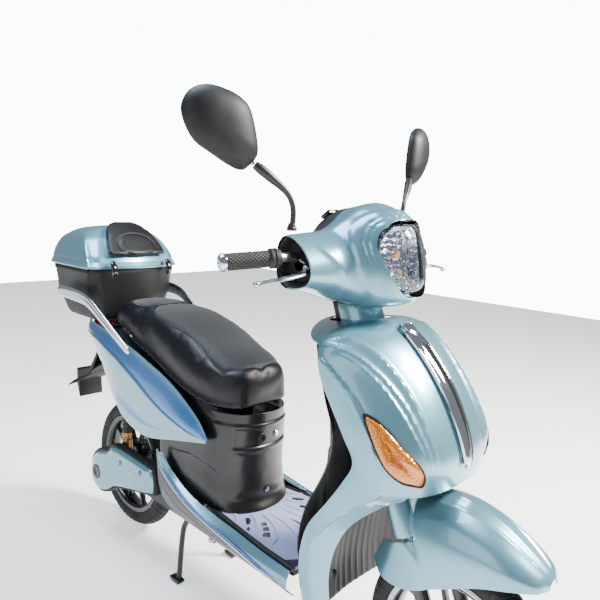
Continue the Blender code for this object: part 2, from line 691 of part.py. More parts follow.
for j in range(len(chainRows)):
    k = (j + 1) % len(chainRows)
    for i in range(4):
        m = (i + 1) % 4
        chainFaces.append((j * 4 + i, j * 4 + m, k * 4 + m, k * 4 + i))
addPiece("chain", "swingarm", (chainVerts, chainFaces), "steel")

# Swing arm with its axle, the painted cover outside it and the shock feet
armShapes = []
for s, _ in rightLeft:
    arm = [(0.018, 0.213 - armHeight / 2), (pivotX - 0.010, pivotZ - armHeight / 2)]
    arm += [(pivotX - 0.010, pivotZ + armHeight / 2), (0.018, 0.213 + armHeight / 2), (-0.020, 0.225),
            (-0.020, 0.201)]
    armShapes.append(sidePrism(arm, s * armInner, s * armOuter))
for s, _ in rightLeft:
    boss = rod((pivotX, s * armInner, pivotZ), (pivotX, s * armOuter, pivotZ), 0.0210, 20)
    armShapes.append(boss)
    bracket = [(shockX - 0.016, 0.215), (shockX + 0.016, 0.215), (shockX + 0.010, 0.262), (shockX - 0.010,
            0.262)]
    armShapes.append(sidePrism(bracket, s * 0.080, s * 0.112))
armShapes.append(box((0.246, -0.074, 0.201), (0.266, 0.074, 0.225)))
armShapes.append(rod((0, -0.112, drawnRadius), (0, 0.112, drawnRadius), axleRadius, 16))
swingarm = joined("swingarm", "swingarm", armShapes, "steel")
cut(swingarm, "swingarm", [rod((pivotX, -0.12, pivotZ), (pivotX, 0.12, pivotZ), stubOuter + gap, 20)])

coverOutline = [(-0.060, 0.214), (-0.046, 0.262), (-0.008, 0.296), (0.055, 0.316), (0.105, 0.342), (0.290,
        0.338)]
coverOutline += [(0.318, 0.325), (0.327, 0.262), (0.305, 0.246), (0.200, 0.222), (0.105, 0.196), (0.055,
        0.166)]
coverOutline += [(0.002, 0.152), (-0.045, 0.171)]
coverCentre = Vector((0.13, 0.245))
coverRings = []
for y, grow in ((-0.1185, 1.0), (-0.136, 1.0), (-0.146, 0.95), (-0.150, 0.86)):
    ring = [coverCentre + (Vector(p) - coverCentre) * grow for p in coverOutline]
    coverRings.append([(p.x, y, p.y) for p in ring])
addPiece("swing_cover", "swingarm", loft(coverRings), "paint")

for s, name in rightLeft:
    foot = (shockX, s * shockY, 0.2625)
    cup = [(0, 0), (0.0165, 0), (0.0165, 0.115), (0.0140, 0.115), (0.0140, 0.018), (0, 0.018)]
    addPiece(f"shock_foot_{name}", "swingarm", turned(cup, foot, (0, 0, 1), 16), "alloy")
    low, high, pleats = 0.3785, 0.5590, 6
    boot = [(0.0075, low)]
    for n in range(pleats * 2 + 1):
        boot.append((0.0165 if n % 2 else 0.0145, low + 0.002 + (high - low - 0.004) * n / (pleats * 2)))
    boot.append((0.0075, high))
    addPiece(f"shock_boot_{name}", "chassis", turned(boot, (shockX, s * shockY, 0), (0, 0, 1), 12, True),
            "rubber")

# Centre stand: cross tube, two bent legs and feet
bridgeX = standX - 0.010
bridgeZ = standZ + 0.028
legLine = railY + standY
eyeWall = standPin + 0.0060
eyeIn = legLine - 0.0060
eyeOut = legLine + 0.0060
bridgeEnd = legLine + 0.0025
standShapes = [rod((bridgeX, -bridgeEnd, bridgeZ), (bridgeX, bridgeEnd, bridgeZ), 0.0060, 12)]
for s, _ in rightLeft:
    eye = [(standPin + gap, s * eyeIn), (eyeWall, s * eyeIn), (eyeWall, s * eyeOut), (standPin + gap,
            s * eyeOut)]
    lug = [(standX - 0.004, standZ + 0.010), (standX - 0.004, bridgeZ - 0.001), (bridgeX - 0.005,
            bridgeZ - 0.001)]
    lug.append((bridgeX - 0.005, standZ + 0.006))
    leg = [(standX - 0.001, s * legLine, standZ - 0.011), (0.442, s * legLine, 0.222)]
    leg += [(0.414, s * legLine, 0.168), (0.396, s * legLine, 0.004)]
    standShapes.append(sidePrism(lug, s * (legLine - 0.005), s * (legLine + 0.005)))
    standShapes.append(turned(eye, (standX, 0, standZ), (0, 1, 0), 20, True))
    standShapes.append(tube(spline(leg, 3), 0.0080, 8))
    footMiddle = s * (legLine + 0.0020)
    standShapes.append(box((0.366, footMiddle - 0.0115, 0.0), (0.412, footMiddle + 0.0115, 0.014)))
joined("centre_stand", "stand", standShapes, "steel")
print("rear running gear done")

# Battery cover below the seat
addBody("seat", (0.648, 0, 0.574), "chassis")
coverHalfRows = []
for z, rearX, half, noseX in ((0.3100, 0.372, 0.128, 0.668), (0.345, 0.345, 0.130, 0.655), (0.400, 0.335,
        0.129, 0.646),
                              (0.460, 0.330, 0.126, 0.648), (0.520, 0.330, 0.122, 0.655), (0.570, 0.335,
                                      0.118, 0.658)):
    row = [(noseX, 0, z), (noseX - 0.006, half * 0.34, z), (noseX - 0.030, half * 0.68, z)]
    row += [(noseX - 0.075, half * 0.90, z), (noseX - 0.150, half * 0.985, z), (rearX, half, z)]
    coverHalfRows.append(row)
coverSkin = thicken(grid(net(whole(coverHalfRows), 1, 1)), (0.45, 0, 0.45))
batteryCover = addPiece("battery_cover", "chassis", coverSkin, "black")

# Painted side panels and lamp between them at the tail
panelRows = []
panelStations = [
    # upper x, half, z; lower x, half, z
    ((-0.188, 0.062, 0.694), (-0.178, 0.060, 0.640)),
    ((-0.105, 0.112, 0.705), (-0.085, 0.108, 0.622)),
    ((0.020, 0.134, 0.700), (0.010, 0.132, 0.578)),
    ((0.150, 0.141, 0.683), (0.092, 0.138, 0.490)),
    ((0.280, 0.143, 0.652), (0.165, 0.140, 0.440)),
    ((0.410, 0.144, 0.612), (0.280, 0.142, 0.424)),
    ((0.520, 0.142, 0.550), (0.430, 0.143, 0.458)),
    ((0.566, 0.140, 0.500), (0.560, 0.140, 0.488)),
]
for (ux, uw, uz), (lx, lw, lz) in panelStations:
    row = [(ux, uw, uz)]
    for share, swell in ((0.33, 0.014), (0.66, 0.010)):
        swell *= min(1.0, (uz - lz) / 0.10)
        row.append((ux + (lx - ux) * share, uw + (lw - uw) * share + swell, uz + (lz - uz) * share))
    panelRows.append(row + [(lx, lw, lz)])
for s, name in rightLeft:
    skin = thicken(grid(net(sided(panelRows, s), 1, 1)), (0.1, 0, 0.55))
    addPiece(f"side_panel_{name}", "chassis", skin, "paint")

lampRows = []
for y, x in ((-0.058, -0.184), (-0.045, -0.206), (-0.020, -0.216), (0.0, -0.218), (0.020, -0.216), (0.045,
        -0.206), (0.058, -0.184)):
    lampRows.append([(x + 0.006, y, 0.700), (x, y, 0.685), (x + 0.002, y, 0.655), (x + 0.016, y, 0.642)])
addPiece("tail_light", "chassis", thicken(grid(lampRows), (0.0, 0, 0.67), 0.006), "red")

# Inner mudguard over the rear tyre, running back to the plate bracket
guard = []
guardLine = [(0.262, 0.330), (0.238, 0.420), (0.170, 0.510), (0.070, 0.560), (-0.040, 0.568), (-0.120,
        0.560)]
guardLine += [(-0.180, 0.530), (-0.245, 0.480), (-0.333, 0.440)]
for n, (x, z) in enumerate(guardLine):
    half = 0.050 if n < 6 else 0.050 + 0.012 * (n - 5)
    guard.append([(x, -half, z - 0.018), (x, -half * 0.6, z), (x, 0, z + 0.003), (x, half * 0.6, z), (x,
            half, z - 0.018)])
guardSkin = thicken(grid(net(guard, 1, 1)), (0.0, 0, 0.2), 0.003)
plateArm = [(-0.345, 0.478), (-0.331, 0.474), (-0.245, 0.500), (-0.200, 0.560), (-0.178, 0.606), (-0.140,
        0.646)]
plateArm += [(-0.108, 0.650), (-0.108, 0.638), (-0.160, 0.600), (-0.190, 0.552), (-0.238, 0.474), (-0.326,
        0.430), (-0.320, 0.372)]
plateArm += [(-0.326, 0.372), (-0.345, 0.420)]
joined("rear_mudguard", "chassis", [guardSkin, sidePrism(plateArm, -0.045, 0.045)], "black")

# Carrier and chrome grab rails beside the top case
for s, name in rightLeft:
    rail = [(-0.200, s * 0.176, 0.797), (-0.110, s * 0.1775, 0.797), (-0.010, s * 0.1755, 0.787), (0.070,
            s * 0.171, 0.748)]
    rail += [(0.150, s * 0.166, 0.703), (0.222, s * 0.1625, 0.664)]
    addPiece(f"grab_rail_{name}", "chassis", bar(spline(rail, 2), 0.0085, 0.0300), "chrome")

# Top case: base, lid hinged at its front edge, backrest pad, hinge covers and lock button
def caseRing(half, rear, front, z, corner=0.050, bow=0.018):
    side = [(rear - bow * 0.5, 0, z)]
    for turn, share in ((0, 0.0), (30, 0.134), (60, 0.5), (90, 1.0)):
        side.append((rear + corner * share, half - corner + corner * math.sin(math.radians(turn)), z))
    nose = front - bow
    side += [(nose - corner, half, z), (nose - corner * 0.5, half - corner * 0.134, z)]
    side += [(nose - corner * 0.134, half - corner * 0.5, z), (nose, half - corner, z)]
    side += [(front - bow * 0.3, (half - corner) * 0.5, z)]
    return side + [(front, 0, z)] + [(x, -w, z) for x, w, z in reversed(side[1:])]


baseLow = 0.712
baseRings = [caseRing(0.118, -0.235, -0.010, baseLow), caseRing(0.132, -0.262, -0.002, baseLow + 0.020),
             caseRing(0.150, -0.285, 0.006, 0.800), caseRing(0.156, -0.296, 0.010, caseRim - 0.001)]
innerRings = [caseRing(0.153, -0.293, 0.007, caseRim - 0.001), caseRing(0.147, -0.282, 0.003, 0.800),
              caseRing(0.129, -0.259, -0.005, baseLow + 0.022), caseRing(0.113, -0.230, -0.014,
                      baseLow + 0.004)]
hingeX = caseFront + 0.004
hingeZ = caseRim - 0.008
addBody("case_lid", (hingeX, 0, hingeZ), "chassis")
addBody("case_lock", (-0.310, 0, 0.905), "case_lid")
addPiece("case_base", "chassis", loft(baseRings + innerRings), "black")
outer = [caseRing(0.164, -0.304, 0.016, caseRim), caseRing(caseHalf, caseRear + 0.004, caseFront,
        caseRim + 0.010),
         caseRing(0.160, -0.303, 0.013, caseRim + 0.020), caseRing(0.157, -0.296, 0.000, 0.925),
         caseRing(0.140, -0.272, -0.040, 0.970), caseRing(0.105, -0.225, -0.080, 1.000, 0.045),
         caseRing(0.055, -0.165, -0.105, caseTop, 0.030, 0.006)]
innerLid = [caseRing(0.050, -0.160, -0.108, caseTop - 0.004, 0.028, 0.006), caseRing(0.101, -0.221, -0.083,
        0.996, 0.045),
            caseRing(0.136, -0.268, -0.044, 0.966), caseRing(0.153, -0.292, -0.004, 0.923),
            caseRing(0.1575, -0.298, 0.009, caseRim)]
lidShapes = [loft(innerLid + outer)]
for s, _ in rightLeft:
    knuckle = [(-0.0040, 0.9050), (0.0160, 0.9070), (0.0260, 0.8980), (0.0340, 0.8840), (0.0375, hingeZ)]
    knuckle += [(0.0335, 0.8625), (0.0240, 0.8588), (0.0145, 0.8625), (0.0107, hingeZ), (0.0107, 0.8810),
            (-0.0040, 0.8810)]
    lidShapes.append(sidePrism(knuckle, s * 0.089, s * 0.111))
lid = joined("case_lid", "case_lid", lidShapes, "paint")
lockRadius = 0.0110
cut(lid, "case_lid", [rod((-0.330, 0, 0.905), (-0.290, 0, 0.905), lockRadius + gap, 16)])
addPiece("case_lock", "case_lock", rod((-0.321, 0, 0.905), (-0.300, 0, 0.905), lockRadius, 16), "black")


def frontOf(ring, wide):
    side = [p for p in ring if p[1] >= 0 and p[0] > -0.13]
    side.sort(key=lambda p: p[1])
    for a, b in zip(side, side[1:]):
        if a[1] <= wide <= b[1]:
            return a[0] + (b[0] - a[0]) * (wide - a[1]) / (b[1] - a[1])
    return side[-1][0]


padThick = 0.016
padRows = []
padGap = 0.0035
for ring, half, rise in ((outer[2], 0.097, 0.014), (outer[3], 0.100, 0), (outer[4], 0.090, 0), (outer[5],
        0.062, 0), (outer[6], 0.026, 0)):
    row = []
    for share in (-1.0, -0.66, -0.33, 0.0, 0.33, 0.66, 1.0):
        wide = half * abs(share)
        row.append((frontOf(ring, wide) + padGap, half * share, ring[0][2] + rise + padGap))
    padRows.append(row)
addPiece("case_pad", "case_lid", thicken(grid(padRows), (-0.14, 0, 0.85), -padThick), "vinyl")
# Seat
seatRings = []
seatStations = [
    # x, half width, top, bottom
    (0.028, 0.092, 0.782, 0.742),
    (0.060, 0.108, 0.790, 0.722),
    (0.130, 0.120, 0.793, 0.704),
    (0.210, 0.126, 0.789, 0.676),
    (0.300, 0.130, 0.783, 0.652),
    (0.410, 0.132, 0.760, 0.616),
    (0.510, 0.129, 0.727, 0.588),
    (0.585, 0.118, 0.705, 0.580),
    (0.632, 0.094, 0.686, 0.580),
    (0.654, 0.062, 0.655, 0.584),
]
for x, half, top, low in seatStations:
    deep = top - low
    side = [(0.0, top), (half * 0.45, top - deep * 0.02), (half * 0.78, top - deep * 0.12), (half * 0.95,
            top - deep * 0.34)]
    side += [(half, top - deep * 0.62), (half * 0.98, low + deep * 0.10), (half * 0.92, low)]
    loop = [(x, w, z) for w, z in side] + [(x, -w, z) for w, z in reversed(side[1:])]
    seatRings.append(loop)
addPiece("seat", "seat", loft(seatRings), "vinyl")

# Handlebar with lever perches
barRadius = 0.0110
gripStart = Vector((0.902, 0.230, 1.005))
gripEnd = Vector((0.853, gripHalf, 0.995))
gripRun = (gripEnd - gripStart).normalized()
barPath = [(0.9115, 0, 0.978), (0.916, 0.060, 0.984), (0.916, 0.130, 0.998), (0.908, 0.190, 1.005)]
barPath += [tuple(gripStart), tuple(gripStart + gripRun * 0.113)]
barSmooth = spline(barPath[:-1], 2) + [Vector(barPath[-1])]
barWhole = [(x, -w, z) for x, w, z in reversed(barSmooth)] + [tuple(p) for p in barSmooth[1:]]
leverTilt = Vector((0.37, 0, 0.93)).normalized()
leverPivot = Vector((0.938, 0.188, 0.9845))
clamp = turned([(stemRadius + gap, 0.790), (0.0200, 0.790), (0.0200, 0.850), (stemRadius + gap, 0.850)],
        forkFoot, up, 20, True)
barShapes = [tube(barWhole, barRadius, 12, 1.0, (0, 0, 1)), clamp]
leverEye = 0.0100
eyeHalf = 0.0035
for s, _ in rightLeft:
    pivot = Vector((leverPivot.x, s * leverPivot.y, leverPivot.z))
    seatTop = pivot + leverTilt * (eyeHalf + gap)
    barShapes.append(rod(seatTop, seatTop + leverTilt * 0.005, leverEye, 16))
    barShapes.append(rod(pivot - leverTilt * 0.006, pivot + leverTilt * 0.005, 0.0026, 12))
    barShapes.append(rod((0.9085, s * 0.183, 1.002), seatTop + leverTilt * 0.0030, 0.0026, 10))
joined("handlebar", "steering", barShapes, "steel")

gripRadius = 0.0168
gripProfile = [(0, 0.1250), (0.0130, 0.1250), (0.0178, 0.1190), (0.0178, 0.1130), (gripRadius, 0.1110),
        (gripRadius, 0.0260)]
gripProfile += [(0.0205, 0.0240), (0.0205, 0.0040), (0.0175, 0.0000), (barRadius + 0.001, 0.0000)]
gripProfile += [(barRadius + 0.001, 0.1140), (0, 0.1140)]
addBody("throttle", (gripStart.x, -gripStart.y, gripStart.z), "steering")
for s, name, body in ((1, "grip_left", "steering"), (-1, "throttle_grip", "throttle")):
    start = (gripStart.x, s * gripStart.y, gripStart.z)
    run = (gripRun.x, s * gripRun.y, gripRun.z)
    addPiece(name, body, turned(gripProfile, start, run, 20), "rubber")

for s, name in rightLeft:
    pivot = Vector((leverPivot.x, s * leverPivot.y, leverPivot.z))
    addBody(f"brake_lever_{name}", pivot, "steering")
    eye = [(0.0030 + gap, -eyeHalf), (leverEye, -eyeHalf), (leverEye, eyeHalf), (0.0030 + gap, eyeHalf)]
    blade = [pivot + Vector((0.0060, s * 0.0065, -0.0026)), (0.955, s * 0.222, 0.9772), (0.957, s * 0.262,
            0.9725)]
    blade += [(0.946, s * 0.300, 0.9665), (0.940, s * 0.318, 0.963)]
    shapes = [turned(eye, pivot, leverTilt, 16, True)]
    shapes.append(tube(spline(blade, 2), 0.0034, 10, 1.9, (1, 0, -0.4)))
    shapes.append(turned([(0, -0.007), (0.005, -0.005), (0.007, 0), (0.005, 0.005), (0, 0.007)], (0.938,
            s * 0.322, 0.962), (0, 1, 0), 12))
    joined(f"brake_lever_{name}", f"brake_lever_{name}", shapes, "alloy")

# Handlebar cowl, front and rear halves
frontCowl = [
    (0.000, (0.900, 1.112), (0.960, 1.122), (1.010, 1.107), (1.044, 1.076), (1.064, 1.010), (1.068, 0.952),
     (1.044, 0.918), (0.985, 0.905), (0.940, 0.903)),
    (0.045, (0.900, 1.100), (0.955, 1.109), (1.006, 1.094), (1.040, 1.062), (1.058, 1.008), (1.060, 0.957),
     (1.038, 0.921), (0.985, 0.906), (0.940, 0.904)),
    (0.076, (0.900, 1.078), (0.945, 1.086), (0.985, 1.074), (1.015, 1.045), (1.030, 1.005), (1.030, 0.965),
     (1.010, 0.930), (0.975, 0.912), (0.935, 0.908)),
    (0.110, (0.898, 1.060), (0.925, 1.062), (0.952, 1.052), (0.977, 1.030), (0.990, 1.000), (0.990, 0.968),
     (0.978, 0.940), (0.950, 0.922), (0.920, 0.916)),
    (0.160, (0.895, 1.054), (0.915, 1.053), (0.938, 1.043), (0.960, 1.022), (0.974, 0.997), (0.976, 0.970),
     (0.964, 0.948), (0.936, 0.936), (0.908, 0.932)),
    (0.205, (0.893, 1.050), (0.908, 1.047), (0.927, 1.037), (0.947, 1.018), (0.962, 0.995), (0.965, 0.972),
     (0.953, 0.953), (0.928, 0.944), (0.900, 0.942)),
]
rearCowl = [
    (0.000, (0.8975, 1.1105), (0.865, 1.104), (0.828, 1.078), (0.806, 1.035), (0.803, 0.990), (0.822,
            0.945),
     (0.858, 0.915), (0.900, 0.9035), (0.9375, 0.9025)),
    (0.045, (0.8975, 1.0985), (0.866, 1.092), (0.832, 1.068), (0.811, 1.030), (0.808, 0.988), (0.826,
            0.946),
     (0.860, 0.917), (0.900, 0.9045), (0.9375, 0.9035)),
    (0.076, (0.8975, 1.0765), (0.870, 1.070), (0.842, 1.050), (0.824, 1.020), (0.822, 0.986), (0.836,
            0.950),
     (0.866, 0.922), (0.902, 0.909), (0.9325, 0.9075)),
    (0.110, (0.8955, 1.0585), (0.876, 1.054), (0.856, 1.038), (0.842, 1.012), (0.840, 0.984), (0.850,
            0.955),
     (0.872, 0.930), (0.898, 0.918), (0.9175, 0.9155)),
    (0.160, (0.8925, 1.0525), (0.878, 1.048), (0.866, 1.034), (0.858, 1.010), (0.856, 0.985), (0.862,
            0.960),
     (0.876, 0.942), (0.892, 0.934), (0.9055, 0.9315)),
    (0.205, (0.8905, 1.0485), (0.880, 1.044), (0.870, 1.030), (0.866, 1.008), (0.866, 0.985), (0.870,
            0.964),
     (0.880, 0.950), (0.890, 0.944), (0.8975, 0.9415)),
]


def cowlRows(stations):
    half = [[(x, w, z) for x, z in points] for w, *points in stations]
    right = [[(x, -w, z) for x, w, z in row] for row in reversed(half)]
    return right + half[1:]


cowlInside = (0.91, 0, 1.0)
front = addPiece("front_cowl", "steering", thicken(grid(net(cowlRows(frontCowl), 1, 1)), cowlInside,
        0.0025), "paint")
rear = addPiece("rear_cowl", "steering", thicken(grid(net(cowlRows(rearCowl), 1, 1)), cowlInside, 0.0025),
        "black")

# Headlight set into the front of the cowl
lensCentre = Vector((1.050, 0, 1.008))
lensAxis = Vector((0.977, 0, 0.213)).normalized()
lensUp = Vector((-0.213, 0, 0.977)).normalized()
lensOutline = [(0.0, 0.078), (0.030, 0.074), (0.052, 0.056), (0.061, 0.030), (0.057, 0.0), (0.046, -0.032)]
lensOutline += [(0.034, -0.055), (0.019, -0.071), (0.0, -0.077)]
lensOutline += [(-w, v) for w, v in reversed(lensOutline[1:-1])]


def lensRing(depth, scale):
    middlePoint = lensCentre + lensAxis * depth
    return [middlePoint + Vector((0, w * scale, 0)) + lensUp * (v * scale) for w, v in lensOutline]


cut(front, "steering", [loft([lensRing(-0.080, 1.0), lensRing(0.060, 1.0)])])
lensShell = [(0.020, 0.28), (0.0165, 0.68), (0.006, 0.90), (-0.020, 0.955), (-0.020, 0.988), (0.008, 0.965),
        (0.020, 0.72), (0.0245, 0.30)]
addPiece("headlight_lens", "steering", loft([lensRing(d, k) for d, k in lensShell]), "clear")
bowl = [(-0.062, 0.42), (-0.044, 0.74), (-0.0215, 0.90), (-0.0215, 0.86), (-0.042, 0.70), (-0.058, 0.39)]
addPiece("headlight_reflector", "steering", loft([lensRing(d, k) for d, k in bowl]), "chrome")

# Instrument window in the rear half
glassOut = Vector((-0.575, 0, 0.818)).normalized()
glassUp = Vector((0.818, 0, 0.575)).normalized()
glassCentre = Vector((0.8465, 0, 1.0905))


def glassBox(low, high, half, wide):
    rings = []
    for d in (low, high):
        c = glassCentre + glassOut * d
        rings.append([c + glassUp * a + Vector((0, b, 0)) for a, b in ((-half, -wide), (half, -wide), (half,
                wide), (-half, wide))])
    return loft(rings)


cut(rear, "steering", [glassBox(-0.020, 0.020, 0.0150, 0.040), rod(forkPoint(0.700), forkPoint(0.800),
        0.0180, 16)])
addPiece("display", "steering", glassBox(-0.002, 0.006, 0.0145, 0.0395), "gloss")

# Neck between cowl and shield
neckRings = []
for z, grow in ((0.840, 1.0), (0.9005, 0.96), (0.9005, 0.90), (0.840, 0.93)):
    centreX = forkFoot.x - (z - forkFoot.z) * math.tan(rake)
    ring = []
    for k in range(20):
        a = 2 * math.pi * k / 20
        ring.append((centreX + 0.062 * grow * math.cos(a), 0.050 * grow * math.sin(a), z))
    neckRings.append(ring)
verts, faces = grid(neckRings + [neckRings[0]], closed=True)
addPiece("neck_cover", "steering", (verts, faces), "paint")

# Mirrors: stem turning in its cowl boss, pear-shaped head turning on the stem
headOutline = [(0.0216, 0.0745), (0.056, 0.0627), (0.0724, 0.033), (0.0668, 0.002), (0.0474, -0.0294),
        (0.0172, -0.049)]
headOutline += [(-0.0172, -0.0686), (-0.0410, -0.0778), (-0.0560, -0.0740), (-0.0775, -0.0480), (-0.0754,
        -0.0137)]
headOutline += [(-0.0625, 0.0333), (-0.0474, 0.0529), (-0.0216, 0.0667)]
for s, name in rightLeft:
    base = Vector((0.889, s * 0.187, 1.0580))
    addBody(f"mirror_stem_{name}", base, "steering")
    headCentre = Vector((0.828, s * 0.330, 1.250))
    outward = Vector((-0.375, s * 0.927, 0)).normalized()
    backward = Vector((0.927, s * 0.375, 0)).normalized()
    joint = headCentre - outward * 0.0675 + Vector((0, 0, -0.0625))
    stemPath = [base, (0.893, s * 0.189, 1.100), (0.888, s * 0.203, 1.132), (0.872, s * 0.236, 1.162)]
    run = (joint - Vector(stemPath[-1])).normalized()
    stemPath.append(tuple(joint - run * 0.0065))
    path = spline(stemPath, 3)
    widths = [0.0060 + 0.0035 * min(1, max(0, (n - 4) / 6)) for n in range(len(path))]
    nut = rod(base - Vector((0, 0, 0.0005)), base + Vector((0, 0, 0.008)), 0.0110, 6)
    joined(f"mirror_stem_{name}", f"mirror_stem_{name}", [tube(path, widths, 8, 1.0, (1, 0, 0)), nut],
            "black")
    addBody(f"mirror_head_{name}", joint, f"mirror_stem_{name}")
    rings = []
    for depth, scale in ((-0.011, 0.955), (-0.006, 1.0), (0.004, 0.99), (0.016, 0.86), (0.026, 0.60),
            (0.031, 0.25)):
        rings.append([headCentre + backward * depth + outward * (a * scale) + Vector((0, 0,
                b * scale)) for a, b in headOutline])
    addPiece(f"mirror_head_{name}", f"mirror_head_{name}", loft(rings), "black")
print("controls done")
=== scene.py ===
# Electric moped scooter: panels, upholstery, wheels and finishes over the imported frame.
# Pieces are drawn from the rear axle forwards, in metres, and moved back by rearAxleX.
import math

import bmesh
import bpy
from mathutils import Matrix, Vector
from mathutils.bvhtree import BVHTree
from mathutils.kdtree import KDTree


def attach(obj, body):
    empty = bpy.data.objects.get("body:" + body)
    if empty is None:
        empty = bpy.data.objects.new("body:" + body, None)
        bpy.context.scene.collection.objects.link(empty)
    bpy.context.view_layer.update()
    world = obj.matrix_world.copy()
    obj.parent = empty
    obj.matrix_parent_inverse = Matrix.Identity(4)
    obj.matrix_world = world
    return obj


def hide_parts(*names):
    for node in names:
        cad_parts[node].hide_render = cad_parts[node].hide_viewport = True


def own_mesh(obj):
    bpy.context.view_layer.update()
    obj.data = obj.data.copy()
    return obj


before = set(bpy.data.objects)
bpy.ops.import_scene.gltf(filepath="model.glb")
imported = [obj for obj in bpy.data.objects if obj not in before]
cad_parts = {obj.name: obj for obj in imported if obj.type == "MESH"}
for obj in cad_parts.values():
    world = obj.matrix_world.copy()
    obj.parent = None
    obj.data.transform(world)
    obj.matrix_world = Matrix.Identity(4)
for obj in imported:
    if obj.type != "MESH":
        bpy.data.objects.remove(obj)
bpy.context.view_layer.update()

rearAxleX = -0.551
wheelbase = 1.234
tyreRadius = 0.213
rake = math.radians(23.0)
shift = Vector((rearAxleX, 0.0, 0.0))
up = Vector((-math.sin(rake), 0.0, math.cos(rake)))
ahead = Vector((math.cos(rake), 0.0, math.sin(rake)))
frontAxle = Vector((wheelbase, 0.0, tyreRadius))
rearAxle = Vector((0.0, 0.0, tyreRadius))
forkFoot = frontAxle - ahead * 0.023
sides = ((-1, "right"), (1, "left"))


def forkPoint(t, n=0.0, y=0.0):
    return forkFoot + up * t + ahead * n + Vector((0, y, 0))


# Materials
def linear(text):
    parts = [int(text[n:n + 2], 16) / 255 for n in (1, 3, 5)]
    return (*[c / 12.92 if c <= 0.04045 else ((c + 0.055) / 1.055) ** 2.4 for c in parts], 1.0)


def addNode(tree, kind, inputs=None, **settings):
    full = kind.startswith(("Geometry", "Function", "NodeGroup"))
    node = tree.nodes.new(kind if full else "ShaderNode" + kind)
    for key, value in settings.items():
        setattr(node, key, value)
    for key, value in (inputs or {}).items():
        if isinstance(value, bpy.types.NodeSocket):
            tree.links.new(value, node.inputs[key])
        else:
            node.inputs[key].default_value = value
    return node


def newMaterial(name, **sockets):
    material = bpy.data.materials.new(name)
    material.use_nodes = True
    tree = material.node_tree
    shader = tree.nodes["Principled BSDF"]
    for key, value in sockets.items():
        socket = shader.inputs[key.replace("_", " ")]
        socket.default_value = linear(value) if isinstance(value, str) else value
    place = addNode(tree, "TexCoord").outputs["Object"]
    return material, tree, shader, place


def surface(name, dark, pale, sizes, bump, rough, **sockets):
    # Two close shades in soft patches, a fine grain in the bump, and a little drift in the gloss
    material, tree, shader, place = newMaterial(name, **sockets)
    patch = addNode(tree, "TexNoise", {"Vector": place, "Scale": 1 / sizes[0], "Detail": 3.0}).outputs["Fac"]
    tone = addNode(tree, "Mix", {"Factor": patch, "A": linear(dark), "B": linear(pale)}, data_type="RGBA")
    tree.links.new(tone.outputs["Result"], shader.inputs["Base Color"])
    gloss = addNode(tree, "MapRange", {"Value": patch, "From Min": 0.3, "From Max": 0.7,
                                       "To Min": rough[0], "To Max": rough[1]})
    tree.links.new(gloss.outputs["Result"], shader.inputs["Roughness"])
    grain = addNode(tree, "TexNoise", {"Vector": place, "Scale": 1 / sizes[1], "Detail": 4.0}).outputs["Fac"]
    relief = addNode(tree, "Bump", {"Height": grain, "Strength": bump[0], "Distance": bump[1]})
    tree.links.new(relief.outputs["Normal"], shader.inputs["Normal"])
    return material, tree, shader, place, tone, relief


# Pearl lacquer on moulded ABS: a clear coat over fine mica, so it is smooth, deep and a little metallic
def pearlLacquer(name, dark, pale):
    made = surface(name, dark, pale, (0.22, 0.0009), (0.05, 0.0002), (0.27, 0.33),
                   Metallic=0.62, Coat_Weight=1.0, Coat_Roughness=0.03, IOR=1.5)
    tree, shader, place, tone = made[1:5]
    flake = addNode(tree, "TexVoronoi", {"Vector": place, "Scale": 1 / 0.0011}).outputs["Color"]
    sparkle = addNode(tree, "Mix", {"Factor": 0.055, "A": tone.outputs["Result"], "B": flake},
                      data_type="RGBA", blend_type="SOFT_LIGHT")
    tree.links.new(sparkle.outputs["Result"], shader.inputs["Base Color"])
    return made


iceLacquer = pearlLacquer("pearl lacquer ice blue", "#5a90a4", "#78a7b6")[0]

# The rear panels fade from a painted sky reflection in blue to the ice shade, with a blue band of painted reflection
# at the foot, all under one clear coat
paintedReflectionMade = pearlLacquer("pearl lacquer sky and ice", "#689aa8", "#8bb3b6")
paintedReflectionTree, paintedReflectionShader = paintedReflectionMade[1:3]
tint = addNode(paintedReflectionTree, "Attribute", attribute_name="tint", attribute_type="GEOMETRY").outputs["Fac"]
paintedReflectionTone = addNode(paintedReflectionTree, "Mix", {"Factor": tint, "A": paintedReflectionMade[4].outputs["Result"], "B": linear("#1c68b4")},
                  data_type="RGBA")
paintedReflectionTree.links.new(paintedReflectionTone.outputs["Result"], paintedReflectionShader.inputs["Base Color"])
lacquerWithPaintedReflection = paintedReflectionMade[0]

# Spark-textured ABS as it leaves the mould: black, matt, with a fine pebble
matBlack = surface("moulded ABS black", "#0a0b0c", "#101113", (0.15, 0.0012), (0.35, 0.0003), (0.46, 0.58),
                   IOR=1.53, Specular_IOR_Level=0.3)[0]
# Smoother ABS with a faint warm cast and a soft shine
satinBlack = surface("satin ABS brown black", "#0e0d0c", "#151312", (0.18, 0.0009), (0.15, 0.0002), (0.24, 0.36),
                     IOR=1.53, Specular_IOR_Level=0.35, Coat_Weight=0.12, Coat_Roughness=0.15)[0]
# Polished ABS: nearly a mirror, only for small bezels
pianoBlack = surface("polished ABS black", "#0b0b0d", "#121214", (0.1, 0.002), (0.02, 0.0001), (0.08, 0.12),
                     Coat_Weight=0.6, Coat_Roughness=0.03)[0]
# Powder-coated steel tube: faint orange peel
powderSteel = surface("powder coated steel", "#121315", "#1d1e20", (0.08, 0.0022), (0.3, 0.0004), (0.34, 0.46),
                      Metallic=0.15)[0]
# Enamelled cast aluminium of the wheels
wheelEnamel = surface("enamelled cast aluminium", "#0c0c0e", "#17171a", (0.05, 0.0014), (0.25, 0.0003), (0.2, 0.3),
                      Metallic=0.3, Coat_Weight=0.5, Coat_Roughness=0.1)[0]
